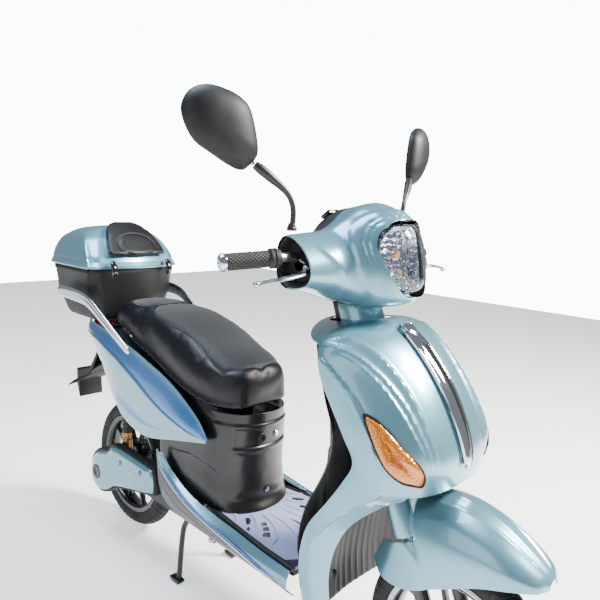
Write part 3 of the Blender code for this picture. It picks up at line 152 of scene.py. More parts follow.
# Machined and clear-coated aluminium: bright with fine turning marks
machined = surface("machined aluminium", "#b4b7ba", "#d8dadc", (0.03, 0.0008), (0.18, 0.0002), (0.16, 0.26),
                   Metallic=1.0)[0]
# Buffed cast aluminium of levers and lugs
buffed = surface("buffed cast aluminium", "#a6a8aa", "#c9cbcc", (0.02, 0.001), (0.2, 0.0002), (0.18, 0.32),
                 Metallic=1.0)[0]
# Hard chrome on steel: mirror with the slightest haze
chromePlate = surface("chrome plate", "#c9ced6", "#e2e6ea", (0.09, 0.004), (0.03, 0.0002), (0.03, 0.08),
                      Metallic=1.0)[0]
# Chain and sprocket steel under a film of oil
oiledSteel = surface("oiled steel", "#3a3836", "#64605a", (0.012, 0.0012), (0.35, 0.0003), (0.25, 0.5),
                     Metallic=1.0)[0]
# Zinc plated screws
zincPlate = surface("zinc plate", "#8f9296", "#b3b5b7", (0.01, 0.0008), (0.2, 0.0002), (0.22, 0.38), Metallic=1.0)[0]
# Bronze-coloured anodised lower shock mount
bronze = surface("bronze anodised aluminium", "#7a5a38", "#98744c", (0.02, 0.0009), (0.2, 0.0002), (0.28, 0.4),
                 Metallic=1.0)[0]
# Carbon-black tyre rubber, dull with a greyer bloom on the walls
tyreRubber = surface("carbon black tyre rubber", "#0b0b0c", "#131314", (0.05, 0.0016), (0.45, 0.0004), (0.66,
        0.82))[0]
# Moulded nitrile of grips and boots
gripRubber = surface("moulded nitrile rubber", "#09090b", "#101012", (0.04, 0.0012), (0.35, 0.0003), (0.5, 0.66))[0]
# Lilac-grey thermoplastic rubber of the foot mat
matRubber = surface("lilac thermoplastic rubber", "#7f87a6", "#9aa1bb", (0.12, 0.0011), (0.3, 0.0003), (0.34,
        0.48))[0]
# The same rubber in black, for the strips along the mat
edgeRubber = surface("black thermoplastic rubber", "#15151a", "#212127", (0.1, 0.0012), (0.35, 0.0003), (0.45,
        0.6))[0]
# Navy ABS trim, a little shiny
navyTrim = surface("dark navy ABS", "#141a2b", "#1e2740", (0.1, 0.0012), (0.2, 0.0002), (0.25, 0.36))[0]
# Blue of a painted sky reflection on the chrome accent, drawn as thin bright metal under a clear film
skyReflectionBlue = surface("blue hot-stamped foil", "#2f62b8", "#4a7fd0", (0.06, 0.0012), (0.05, 0.0002), (0.16, 0.24),
                   Metallic=0.6, Coat_Weight=0.6, Coat_Roughness=0.05)[0]
# Battery shell polycarbonate, matt as moulded
batteryShell = surface("battery polycarbonate", "#1d2431", "#2a3242", (0.1, 0.001), (0.2, 0.0002), (0.4, 0.5))[0]


# Moulded lens plastic over facets: the clear coat stays smooth while the body below is prismatic
def lensPlastic(name, dark, pale, facet, strength, **sockets):
    material, tree, shader, place = newMaterial(name, Coat_Weight=1.0, Coat_Roughness=0.02, **sockets)
    cells = addNode(tree, "TexVoronoi", {"Vector": place, "Scale": 1 / facet, "Randomness": 0.35},
            distance="CHEBYCHEV")
    # Painted facet shade: the colour runs from pale in each facet's middle to dark at its edges
    tone = addNode(tree, "Mix", {"Factor": cells.outputs["Distance"], "A": linear(pale), "B": linear(dark)},
                   data_type="RGBA")
    tree.links.new(tone.outputs["Result"], shader.inputs["Base Color"])
    relief = addNode(tree, "Bump", {"Height": cells.outputs["Distance"], "Strength": strength,
            "Distance": facet * 0.5})
    tree.links.new(relief.outputs["Normal"], shader.inputs["Normal"])
    return material


# Dyed acrylic lamp lenses, with painted shade that deepens the colour toward each facet's edge
amberLens = lensPlastic("amber acrylic", "#8a3a00", "#e88a00", 0.006, 0.5, Roughness=0.12, Metallic=0.45)
bulbAmber = lensPlastic("amber bulb dome", "#5a1a00", "#d9560b", 0.004, 0.7, Roughness=0.1, Metallic=0.3)
redLens = lensPlastic("red acrylic", "#8e0e14", "#e02a2c", 0.005, 0.5, Roughness=0.12, Metallic=0.2)
# Vacuum-aluminised reflector, its facets darkened toward their edges as painted shade, and the frosted bulbs in front
# of it
mirrorFacets = lensPlastic("aluminised reflector", "#aab0bd", "#f4f6fa", 0.013, 0.85, Roughness=0.1, Metallic=1.0)
bulbGlass = newMaterial("frosted bulb glass", Base_Color="#ffb070", Roughness=0.25, Coat_Weight=0.8)[0]
# Clear polycarbonate: a thin hard-coated shell, so light hardly bends in it
clearShell = newMaterial("clear polycarbonate", Base_Color="#f2f6fb", Roughness=0.03, IOR=1.12,
                         Transmission_Weight=1.0, Specular_IOR_Level=0.5, Coat_Weight=0.6)[0]
# Silvered glass of the mirrors, and the smoked window over the dials
mirrorGlass = newMaterial("silvered mirror glass", Base_Color="#dfe4e8", Metallic=1.0, Roughness=0.02)[0]
smokedWindow = newMaterial("smoked acrylic", Base_Color="#0a0c10", Roughness=0.06, Coat_Weight=1.0)[0]


# Upholstery vinyl: a pebbled leather grain, drawn 2 to 3 mm across so that it shows; the real one is about 1.5 mm
def vinylCloth(name, dark, pale, grain, depth, rough, **sockets):
    material, tree, shader, place = newMaterial(name, **sockets)
    warp = addNode(tree, "TexNoise", {"Vector": place, "Scale": 260.0, "Detail": 2.0}).outputs["Color"]
    bent = addNode(tree, "Mix", {"Factor": 0.0016, "A": place, "B": warp}, data_type="RGBA", blend_type="ADD")
    cells = addNode(tree, "TexVoronoi", {"Vector": bent.outputs["Result"], "Scale": 1 / grain},
            feature="DISTANCE_TO_EDGE")
    pebble = addNode(tree, "MapRange", {"Value": cells.outputs["Distance"], "From Max": 0.22}).outputs["Result"]
    patch = addNode(tree, "TexNoise", {"Vector": place, "Scale": 9.0, "Detail": 4.0}).outputs["Fac"]
    tone = addNode(tree, "Mix", {"Factor": patch, "A": linear(dark), "B": linear(pale)}, data_type="RGBA")
    gloss = addNode(tree, "MapRange", {"Value": pebble, "To Min": rough[1], "To Max": rough[0]})
    relief = addNode(tree, "Bump", {"Height": pebble, "Strength": depth, "Distance": 0.0004})
    tree.links.new(tone.outputs["Result"], shader.inputs["Base Color"])
    tree.links.new(gloss.outputs["Result"], shader.inputs["Roughness"])
    tree.links.new(relief.outputs["Normal"], shader.inputs["Normal"])
    return material, tree, shader, place, tone, gloss, relief


padVinyl = vinylCloth("grained vinyl of the backrest", "#0b0b0c", "#141315", 0.0026, 0.35, (0.3, 0.48),
        Specular_IOR_Level=0.32)[0]
sideVinyl = vinylCloth("smooth vinyl of the seat sides", "#07080b", "#0e1015", 0.0022, 0.22, (0.3, 0.44),
        Specular_IOR_Level=0.32)[0]
topVinyl = vinylCloth("matt vinyl of the seat inset", "#111216", "#1a1c20", 0.003, 0.45, (0.46, 0.6),
        Sheen_Weight=0.15,
                       Specular_IOR_Level=0.3)[0]
# Bonded nylon thread, dull and a shade lighter than the vinyl
threadNylon = surface("bonded nylon thread", "#26272b", "#34363b", (0.01, 0.0005), (0.4, 0.0002), (0.5, 0.6))[0]
print("materials ready")


# Curves, skins and solids
def spline(points, steps):
    points = [Vector(p) for p in points]
    if steps == 1:
        return points
    result = []
    for i in range(len(points) - 1):
        b, c = points[i], points[i + 1]
        a = points[i - 1] if i else b * 2 - c
        d = points[i + 2] if i + 2 < len(points) else c * 2 - b
        for k in range(steps):
            t = k / steps
            bend = (a * -1 + b * 3 - c * 3 + d) * t ** 3 + (a * 2 - b * 5 + c * 4 - d) * t ** 2 + (c - a) * t
            result.append(b + bend * 0.5)
    result.append(points[-1])
    return result


def closedSpline(points, steps):
    count = len(points)
    wrapped = [points[(n - 2) % count] for n in range(count + 5)]
    return spline(wrapped, steps)[2 * steps:(2 + count) * steps]


def net(rows, rowSteps, columnSteps):
    across = [spline(row, columnSteps) for row in rows]
    columns = [spline(column, rowSteps) for column in zip(*across)]
    return [list(row) for row in zip(*columns)]


def sided(rows, side):
    return [[Vector((p[0], side * p[1], p[2])) for p in row] for row in rows]


def whole(rows):
    return [a[:0:-1] + b for a, b in zip(sided(rows, -1), sided(rows, 1))]


def grid(rows, skip=None, closed=False):
    wide = len(rows[0])
    verts = [p for row in rows for p in row]
    faces = []
    for j in range(len(rows) - 1):
        for i in range(wide if closed else wide - 1):
            if not (skip and skip(j, i)):
                k = (i + 1) % wide
                faces.append((j * wide + i, j * wide + k, (j + 1) * wide + k, (j + 1) * wide + i))
    used = sorted({v for face in faces for v in face})
    number = {v: n for n, v in enumerate(used)}
    return [verts[v] for v in used], [tuple(number[v] for v in face) for face in faces]


def thicken(shape, inside, thick):
    verts, faces = shape
    verts = [Vector(v) for v in verts]
    normals = [Vector() for _ in verts]
    edges = {}
    for face in faces:
        corners = [verts[v] for v in face]
        normal = (corners[2] - corners[0]).cross(corners[3] - corners[1]).normalized()
        for n, v in enumerate(face):
            normals[v] += normal
            edges[(v, face[(n + 1) % 4])] = True
    away = sum(n.dot(v - Vector(inside)) for n, v in zip(normals, verts))
    sign = -thick if away > 0 else thick
    total = len(verts)
    inner = [v + n.normalized() * sign for n, v in zip(normals, verts)]
    back = [tuple(v + total for v in reversed(face)) for face in faces]
    rim = [(a + total, b + total, b, a) for a, b in edges if (b, a) not in edges]
    return verts + inner, faces + back + rim


def loft(rings):
    wide = len(rings[0])
    verts, faces = grid(rings, closed=True)
    last = (len(rings) - 1) * wide
    return verts, faces + [tuple(reversed(range(wide))), tuple(range(last, last + wide))]


def sleeve(rings):
    # A closed wall whose last ring meets its first
    return grid(rings + [rings[0]], closed=True)


def pillow(rings):
    # A loft whose two ends are closed by a fan to the middle, for shapes that stay smooth there
    verts, faces = grid(rings, closed=True)
    wide = len(rings[0])
    for ring, first, flip in ((rings[0], 0, True), (rings[-1], (len(rings) - 1) * wide, False)):
        centre = sum((Vector(p) for p in ring), Vector()) / wide
        verts.append(centre)
        for k in range(wide):
            a, b = first + k, first + (k + 1) % wide
            faces.append((b, a, len(verts) - 1) if flip else (a, b, len(verts) - 1))
    return verts, faces


def tube(path, radius, segments=16, flat=1.0, across=(0, 1, 0), closed=False):
    path = [Vector(p) for p in path]
    radii = radius if isinstance(radius, list) else [radius] * len(path)
    reference = Vector(across)
    count = len(path)
    rings = []
    for n, point in enumerate(path):
        if closed:
            run = path[(n + 1) % count] - path[n - 1]
        else:
            run = path[min(n + 1, count - 1)] - path[max(n - 1, 0)]
        side = (reference - run * (reference.dot(run) / run.dot(run))).normalized()
        rise = run.normalized().cross(side)
        ring = []
        for k in range(segments):
            angle = 2 * math.pi * (k + 0.5) / segments
            ring.append(point + (side * math.cos(angle) * flat + rise * math.sin(angle)) * radii[n])
        rings.append(ring)
    if closed:
        return sleeve(rings)
    return loft(rings)


def turned(profile, centre, axis, segments=48, ring=False):
    centre = Vector(centre)
    axis = Vector(axis).normalized()
    first = Vector((0, 0, -1)) if abs(axis.z) < 0.5 else Vector((0, 1, 0))
    first = (first - axis * first.dot(axis)).normalized()
    second = axis.cross(first)
    rows = []
    for k in range(segments):
        angle = 2 * math.pi * k / segments
        out = first * math.cos(angle) + second * math.sin(angle)
        rows.append([centre + out * r + axis * h for r, h in profile])
    wide = len(profile)
    verts = [p for row in rows for p in row]
    faces = []
    for k in range(segments):
        m = (k + 1) % segments
        for i in range(wide if ring else wide - 1):
            n = (i + 1) % wide
            loop = [k * wide + i, k * wide + n, m * wide + n, m * wide + i]
            if not ring and i == 0:
                loop = loop[:3]
            if not ring and i == wide - 2:
                loop = [loop[0], loop[1], loop[3]]
            faces.append(tuple(loop))
    return verts, faces


def rod(a, b, radius, segments=24):
    a, b = Vector(a), Vector(b)
    soft = min(radius * 0.2, 0.0012)
    long = (b - a).length
    profile = [(0, 0), (radius - soft, 0), (radius, soft), (radius, long - soft), (radius - soft, long), (0, long)]
    return turned(profile, a, b - a, segments)


def merged(shapes):
    verts, faces = [], []
    for moreVerts, moreFaces in shapes:
        faces += [tuple(v + len(verts) for v in face) for face in moreFaces]
        verts += moreVerts
    return verts, faces


def newObject(name, shape, looks, sharp=35.0):
    verts, faces = shape
    mesh = bpy.data.meshes.new(name)
    mesh.from_pydata([tuple(Vector(v) + shift) for v in verts], [], faces)
    work = bmesh.new()
    work.from_mesh(mesh)
    bmesh.ops.remove_doubles(work, verts=work.verts, dist=0.00002)
    bmesh.ops.recalc_face_normals(work, faces=work.faces)
    work.to_mesh(mesh)
    work.free()
    for look in looks:
        mesh.materials.append(look)
    mesh.shade_smooth()
    mesh.set_sharp_from_angle(angle=math.radians(sharp))
    piece = bpy.data.objects.new(name, mesh)
    bpy.context.scene.collection.objects.link(piece)
    return piece


def bake(piece):
    # Puts the result of the live modifiers into the mesh and takes them off
    held = piece.evaluated_get(bpy.context.evaluated_depsgraph_get())
    mesh = bpy.data.meshes.new_from_object(held)
    piece.modifiers.clear()
    piece.data = mesh
    return piece


def soften(piece, width=0.0008, steps=2, angle=35.0):
    bevel = piece.modifiers.new("softEdges", "BEVEL")
    bevel.width = width
    bevel.segments = steps
    bevel.limit_method = "ANGLE"
    bevel.angle_limit = math.radians(angle)
    bevel.use_clamp_overlap = True
    bake(piece)
    piece.data.shade_smooth()
    piece.data.set_sharp_from_angle(angle=math.radians(50))
    return piece


def cutAway(piece, shapes):
    tools = []
    for number, shape in enumerate(shapes):
        tool = newObject(f"{piece.name}.tool{number}", shape, [])
        step = piece.modifiers.new("cut", "BOOLEAN")
        step.operation = "DIFFERENCE"
        step.solver = "EXACT"
        step.object = tool
        tools.append(tool)
    bake(piece)
    for tool in tools:
        bpy.data.objects.remove(tool, do_unlink=True)
    return piece


def settle(piece, body, nodes=()):
    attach(piece, body)
    if nodes:
        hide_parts(*nodes)
    return piece


def addPiece(name, shape, looks, body, nodes=(), edge=0.0006, sharp=35.0):
    piece = newObject(name, shape, looks, sharp)
    if edge:
        soften(piece, edge)
    return settle(piece, body, nodes)


def paintFaces(piece, choose):
    # choose gets a face's middle and normal and answers with a material number
    for face in piece.data.polygons:
        face.material_index = choose(face.center - shift, face.normal)


def smooth(value, low, high):
    t = min(1.0, max(0.0, (value - low) / (high - low)))
    return t * t * (3 - 2 * t)


def lookUp(table, value):
    # Straight-line reading of a table of (key, result)
    if value <= table[0][0]:
        return table[0][1]
    for (a, fa), (b, fb) in zip(table, table[1:]):
        if value <= b:
            return fa + (fb - fa) * (value - a) / (b - a)
    return table[-1][1]


def displaced(rows, inside, lift):
    # Moves each point of a net along its own normal, away from the inside point
    count, wide = len(rows), len(rows[0])
    result = []
    for j in range(count):
        line = []
        for i in range(wide):
            down = rows[min(j + 1, count - 1)][i] - rows[max(j - 1, 0)][i]
            over = rows[j][min(i + 1, wide - 1)] - rows[j][max(i - 1, 0)]
            normal = over.cross(down)
            if normal.length < 1e-12:
                line.append(rows[j][i].copy())
                continue
            normal.normalize()
            if normal.dot(rows[j][i] - Vector(inside)) < 0:
                normal = -normal
            line.append(rows[j][i] + normal * lift(j, i, rows[j][i]))
        result.append(line)
    return result


def fold(away, sharp, soft):
    # A pressed fold: steep on one side of its crest, running out gently on the other
    return math.exp(-(away / sharp) ** 2) if away < 0 else math.exp(-away / soft)


# Leg shield: superellipse sections down the nose, then a leg each side of the wheel arch
legShield = {
    "thick": 0.003,
    "rowSteps": 8,
    "noseColumns": 28,
    "flankColumns": 24,
    "neckHole": 0.068,
    "foldHeight": 0.0056,
    "archTurn": 44.0,
    "stations": [  # nose x, nose z, edge x, edge half width, edge z, fullness
        (0.85, 0.858, 0.948, 0.166, 0.836, 1.5), (0.99, 0.877, 0.966, 0.174, 0.832, 1.9),
        (1.053, 0.859, 0.974, 0.184, 0.806, 2.0), (1.106, 0.819, 0.988, 0.188, 0.77, 2.1),
        (1.158, 0.758, 1.016, 0.186, 0.722, 2.3), (1.198, 0.687, 1.05, 0.184, 0.668, 2.6),
        (1.217, 0.628, 1.074, 0.18, 0.62, 2.8), (1.209, 0.57, 1.048, 0.174, 0.57, 2.8)],
    "legs": [  # arch x, arch half width, arch z, edge x, edge half width, edge z
        (1.118, 0.128, 0.528, 1.008, 0.174, 0.51), (1.05, 0.14, 0.465, 0.958, 0.172, 0.44),
        (1.02, 0.15, 0.405, 0.938, 0.171, 0.375), (1.01, 0.155, 0.34, 0.936, 0.169, 0.315),
        (1.014, 0.152, 0.262, 0.944, 0.164, 0.258)],
    # The fan of folds: height station, then degrees round the nose
    "folds": [
        [(0.9, 86), (1.15, 66), (1.6, 50), (2.3, 40), (3.4, 32), (4.8, 26), (6.4, 21)],
        [(1.2, 88), (1.5, 72), (2.0, 59), (2.8, 48), (3.9, 38), (5.2, 31), (6.5, 26)],
        [(1.9, 68), (2.4, 60), (3.2, 50), (4.2, 42), (5.4, 35), (6.4, 31)],
        [(1.6, 90), (2.4, 80), (3.3, 73), (4.2, 70), (5.2, 72), (6.0, 77)],
        [(6.4, 70), (7.2, 66), (8.2, 66), (9.2, 70), (10.4, 76)]],
    "signal": ((67.5, 4.28), (70, 4.76), (70.5, 5.24), (67.5, 5.9), (54.5, 6.34), (42.5, 6.5), (34, 6.56), (32, 6.32),
            (35, 6.0),
               (39.5, 5.64), (47.5, 5.2), (52, 4.86), (59, 4.46)),
}


def shieldPoint(station, turn):
    noseX, noseZ, edgeX, half, edgeZ, full = station
    reach = max(0.0, math.cos(math.radians(turn))) ** (2 / full) if turn < 90 else 0.0
    wide = math.sin(math.radians(turn)) ** (2 / full)
    return Vector((edgeX + (noseX - edgeX) * reach, half * wide, edgeZ + (noseZ - edgeZ) * reach))


def legPoint(station, q):
    archX, archHalf, archZ, edgeX, half, edgeZ = station
    wide = archHalf + (half - archHalf) * q + 0.012 * math.sin(math.pi * q)
    return Vector((archX + (edgeX - archX) * q, wide, archZ + (edgeZ - archZ) * q))


def buildShield(s):
    arch, steps = s["archTurn"], s["rowSteps"]
    turns = [arch * k / s["noseColumns"] for k in range(s["noseColumns"])]
    shares = [k / s["flankColumns"] for k in range(s["flankColumns"] + 1)]
    nose = net([[shieldPoint(t, a) for a in turns] for t in s["stations"]], steps, 1)
    flank = [[shieldPoint(t, arch + (90 - arch) * q) for q in shares] for t in s["stations"]]
    flank = net(flank + [[legPoint(t, q) for q in shares] for t in s["legs"]], steps, 1)
    blank = nose[-1]
    half = [(nose[j] if j < len(nose) else blank) + flank[j] for j in range(len(flank))]
    columnTurns = turns + [arch + (90 - arch) * q for q in shares]
    folds = [[(p.x, p.y) for p in spline([(a, b, 0) for a, b in line], 8)] for line in s["folds"]]

    def lift(j, i, point):
        level, turn, total = j / steps, columnTurns[i], 0.0
        for line in folds:
            low, high = line[0][0], line[-1][0]
            if low < level < high:
                fade = smooth(level, low, low + 0.7) * (1 - smooth(level, high - 1.3, high))
                total += fade * fold((turn - lookUp(line, level)) / 4.0, 0.35, 1.5)
        return total * s["foldHeight"] * smooth(90 - turn, 0, 4)

    half = displaced(half, (0.95, 0, 0.55), lift)
    middle = len(columnTurns) - 1
    noseRows = (len(s["stations"]) - 1) * steps

    def opening(j, i):
        offset = i - middle if i >= middle else middle - 1 - i
        return j >= noseRows and offset < s["noseColumns"]

    skin = thicken(grid(whole(half), opening), (0.95, 0, 0.55), s["thick"])
    shield = newObject("leg_shield_skin", skin, [iceLacquer], 60)
    tools = [rod(forkPoint(0.6), forkPoint(0.9), s["neckHole"], 64)]
    for side, name in sides:
        outline = []
        for turn, share in s["signal"]:
            low = int(share)
            a = shieldPoint(s["stations"][low], turn)
            b = shieldPoint(s["stations"][min(low + 1, 7)], turn)
            p = a + (b - a) * (share - low)
            outline.append(Vector((p.x, side * p.y, p.z)))
        outline = closedSpline(outline, 6)
        centre = sum(outline, Vector()) / len(outline)
        quarter = len(outline) // 4
        face = (outline[2 * quarter] - outline[0]).cross(outline[3 * quarter] - outline[quarter]).normalized()
        face = face if face.x > 0 else -face
        pocket = [centre + (p - centre) * 1.025 for p in outline]
        tools.append(loft([[p - face * 0.035 for p in pocket], [p + face * 0.03 for p in pocket]]))
        buildSignal(outline, centre, face, name)
    cutAway(shield, tools)
    soften(shield, 0.0009)
    settle(shield, "chassis", ["leg_shield"])


signalLamp = {"crown": [(0.985, -0.001), (0.965, 0.005), (0.88, 0.01), (0.66, 0.0155), (0.34, 0.0185)],
              "gasket": [(1.012, -0.004), (1.018, 0.006), (0.985, 0.0068), (0.945, 0.006), (0.95, -0.004)],
              "ribs": 9}


def buildSignal(outline, centre, face, name):
    s = signalLamp
    rings = [[centre + (p - centre) * k + face * h for p in outline] for k, h in s["crown"]]
    lens = newObject(f"signal_lens_{name}", pillow(rings), [amberLens, bulbAmber], 50)
    seat = centre - Vector((0, 0, 0.004))
    paintFaces(lens, lambda c, n: 1 if (c - seat - face * 0.016).length < 0.0115 else 0)
    settle(lens, "chassis", [f"turn_signal_{name}"])
    rings = [[centre + (p - centre) * k + face * h for p in outline] for k, h in s["gasket"]]
    addPiece(f"signal_gasket_{name}", sleeve(rings), [matBlack], "chassis",
             edge=0)


buildShield(legShield)

# Inner shield facing the rider's knees, with two pressed panels and a hook
innerShield = {
    "thick": 0.003,
    "stations": [  # centre x, centre z, edge x, edge half width, edge z
        (0.846, 0.851, 0.948, 0.16, 0.826), (0.856, 0.8, 0.966, 0.172, 0.796),
        (0.874, 0.72, 0.99, 0.173, 0.722), (0.89, 0.64, 1.014, 0.172, 0.65),
        (0.895, 0.56, 0.992, 0.166, 0.565), (0.89, 0.47, 0.94, 0.163, 0.47),
        (0.9, 0.39, 0.92, 0.161, 0.385), (0.925, 0.325, 0.925, 0.158, 0.33)],
}


def buildInner(s):
    half = []
    for cx, cz, ex, wide, ez in s["stations"]:
        row = [(cx, 0, cz), (cx + 0.006, wide * 0.3, cz), (cx * 0.55 + ex * 0.45, wide * 0.52, cz)]
        row += [(cx * 0.25 + ex * 0.75 - 0.006, wide * 0.76, (cz + ez) / 2), (ex, wide, ez)]
        half.append(row)
    rows = net(whole(half), 8, 8)

    def lift(j, i, p):
        panel = smooth(0.075 - abs(p.y), -0.003, 0.003) * smooth(p.z, 0.56, 0.567) * smooth(0.76 - p.z, 0, 0.007)
        lower = smooth(0.06 - abs(p.y), -0.003, 0.003) * smooth(p.z, 0.4, 0.407) * smooth(0.53 - p.z, 0, 0.007)
        return -0.0035 * panel - 0.003 * lower

    rows = displaced(rows, (1.1, 0, 0.6), lift)
    inner = newObject("inner_shield_skin", thicken(grid(rows), (1.0, 0, 0.6), s["thick"]), [matBlack], 60)
    cutAway(inner, [rod(forkPoint(0.6), forkPoint(0.9), legShield["neckHole"], 64)])
    soften(inner, 0.0009)
    settle(inner, "chassis", ["inner_shield"])


buildInner(innerShield)
hook = [(0.872, 0, 0.7), (0.858, 0, 0.698), (0.846, 0, 0.69), (0.842, 0, 0.678), (0.847, 0, 0.667), (0.856, 0, 0.664)]
addPiece("bag_hook", tube(spline(hook, 5), [0.0048] * 20 + [0.0044] * 6, 14, 1.5), [chromePlate], "chassis",
         edge=0.0004)

# Splash guard behind the front wheel, ribbed along its length, with its clip
splashGuard = {"thick": 0.0025, "ribPitch": 0.022, "ribHeight": 0.0016,
               "stations": ((1.01, 1.04, 0.112, 0.5), (0.99, 1.006, 0.132, 0.43),
                            (0.978, 0.994, 0.138, 0.34), (0.984, 0.996, 0.136, 0.262))}
linerHalf = [[(cx, 0, z), (cx + 0.002, half * 0.5, z), (ex, half, z)] for cx, ex, half, z in splashGuard["stations"]]
linerRows = displaced(net(whole(linerHalf), 8, 16), (0.9, 0, 0.4), lambda j, i, p: splashGuard["ribHeight"] * max(
    0.0, math.cos(2 * math.pi * p.y / splashGuard["ribPitch"])) ** 3 * smooth(0.115 - abs(p.y), 0, 0.01))
addPiece("splash_guard", thicken(grid(linerRows), (0.9, 0, 0.4), splashGuard["thick"]), [matBlack], "chassis",
         ["wheel_liner"])
for side, name in sides:
    clip = [(1.0125, side * 0.14, 0.349), (1.0165, side * 0.1435, 0.344), (1.0165, side * 0.1445, 0.332)]
    addPiece(f"guard_clip_{name}", tube(spline(clip, 4), 0.0032, 10, 1.8), [matBlack], "chassis",
             edge=0.0003)

# Centre strip: chrome surround with a ridge, a painted dark reflection on its left facet and a blank crest plate
noseStrip = {
    "stations": ((1.04, 0.8665, 0.01), (1.05, 0.862, 0.0185), (1.072, 0.848, 0.023), (1.11, 0.8155, 0.025),
                 (1.16, 0.7565, 0.024), (1.2, 0.6865, 0.021), (1.219, 0.63, 0.016), (1.2195, 0.606, 0.008)),
    "thick": 0.0022}
stripRows = []
for x, z, half in noseStrip["stations"]:
    low = Vector((x + 0.0028, 0, z + 0.0025))
    row = []
    for share, rise in ((0, 1.0), (0.3, 0.93), (0.62, 0.62), (0.8, 0.42), (0.86, 0.62), (0.94, 0.6), (1.0, 0.0)):
        row.append((low.x + 0.006 * rise, half * share, low.z + 0.004 * rise))
    stripRows.append(row)
strip = newObject("nose_strip", thicken(grid(net(whole(stripRows), 8, 3)), (0.95, 0, 0.6), noseStrip["thick"]),
                  [chromePlate, pianoBlack], 40)
# Painted dark reflection: most of the strip's left half, where y is positive, takes the polished black
paintFaces(strip, lambda c, n: 1 if 0.0006 < c.y < 0.019 * lookUp(
    ((0.6, 0.3), (0.64, 0.75), (0.72, 0.82), (0.835, 0.82), (0.84, 0.0)), c.z) else 0)
settle(strip, "chassis", ["horn_cover"])
crestMiddle = Vector((1.068, 0, 0.862))
crestOut = Vector((0.62, 0, 0.785)).normalized()
crestUp = Vector((-0.785, 0, 0.62)).normalized()
crestLine = [(0.014, 0.017), (-0.014, 0.017), (-0.0165, 0.004), (-0.011, -0.009), (0.0, -0.018), (0.011, -0.009),
             (0.0165, 0.004)]
crestRings = []
for h, k in ((-0.004, 1.0), (0.0022, 1.0), (0.0034, 0.92), (0.0022, 0.8), (0.0022, 0.74), (0.0036, 0.6), (0.004,
        0.3)):
    crestRings.append([crestMiddle + crestOut * h + Vector((0, a * k, 0)) + crestUp * (b * k) for a, b in crestLine])
addPiece("crest_plate", pillow(crestRings), [chromePlate], "chassis", edge=0.0004)
print("shield ready")

# Long front mudguard with a ridge line, side lobes and a black vent behind the fork
frontGuard = {
    "thick": 0.003, "ridge": 0.0022, "lobe": 0.0045,
    "stations": [  # ridge x, ridge z, half width, lower x, lower z
        (1.108, 0.52, 0.066, 1.062, 0.372), (1.135, 0.537, 0.084, 1.098, 0.35), (1.18, 0.548, 0.088, 1.155, 0.352),
        (1.24, 0.545, 0.086, 1.225, 0.384), (1.305, 0.528, 0.079, 1.3, 0.42), (1.358, 0.5, 0.067, 1.36, 0.437),
        (1.396, 0.474, 0.046, 1.399, 0.443), (1.412, 0.458, 0.016, 1.413, 0.445)],
}


def buildFender(s):
    half = []
    for ridgeX, ridgeZ, wide, lowX, lowZ in s["stations"]:
        drop = ridgeZ - lowZ
        row = [(ridgeX, 0, ridgeZ), (ridgeX, wide * 0.42, ridgeZ - drop * 0.06)]
        row.append((ridgeX * 0.9 + lowX * 0.1, wide * 0.78, ridgeZ - drop * 0.24))
        row.append((ridgeX * 0.6 + lowX * 0.4, wide * 0.97, ridgeZ - drop * 0.55))
        half.append(row + [(lowX, wide * 0.98, lowZ)])
    halfRows = net(half, 12, 14)
    columns = len(halfRows[0]) - 1

    def lift(j, i, p):
        share = i / columns
        line = 0.26 - 0.05 * smooth(p.x, 1.2, 1.4)
        ridge = fold((share - line) / 0.05, 0.5, 1.6) * smooth(p.x, 1.15, 1.19) * (1 - smooth(p.x, 1.385, 1.408))
        across = math.hypot((p.x - 1.118) / 0.082, (p.z - 0.372) / 0.092)
        lobe = 1 - smooth(across, 0.86, 1.02)
        return ridge * s["ridge"] + lobe * s["lobe"]

    rows = displaced(halfRows, (1.234, 0, 0.35), lift)
    fender = newObject("front_guard", thicken(grid(whole(rows)), (1.234, 0, 0.35), s["thick"]), [iceLacquer], 60)
    tools = []
    for side, _ in sides:
        outline = [(-0.08, 0.034), (0.056, 0.034), (0.056, 0.11), (-0.08, 0.11)]
        tools.append(loft([[forkPoint(t, n, side * y) for n, y in outline] for t in (0.252, 0.52)]))
    cutAway(fender, tools)
    soften(fender, 0.0009)
    settle(fender, "steering", ["front_fender"])


buildFender(frontGuard)

# Painted sleeves over the fork legs, rounded in at the foot, and rubber seals below them
for side, name in sides:
    foot = forkPoint(0, 0.023, side * 0.062)
    profile = [(0.024, 0.262), (0.0252, 0.259), (0.0262, 0.264), (0.0262, 0.344), (0.0252, 0.351), (0.024, 0.352)]
    addPiece(f"fork_sleeve_{name}", turned(profile, foot, up, 48, True), [iceLacquer], "steering",
            edge=0)
    seal = [(0.0127, 0.1905), (0.0172, 0.1905), (0.0178, 0.196), (0.0158, 0.203), (0.0127, 0.205)]
    addPiece(f"fork_seal_{name}", turned(seal, foot, up, 40, True), [gripRubber], "fork",
            edge=0)
print("fender ready")

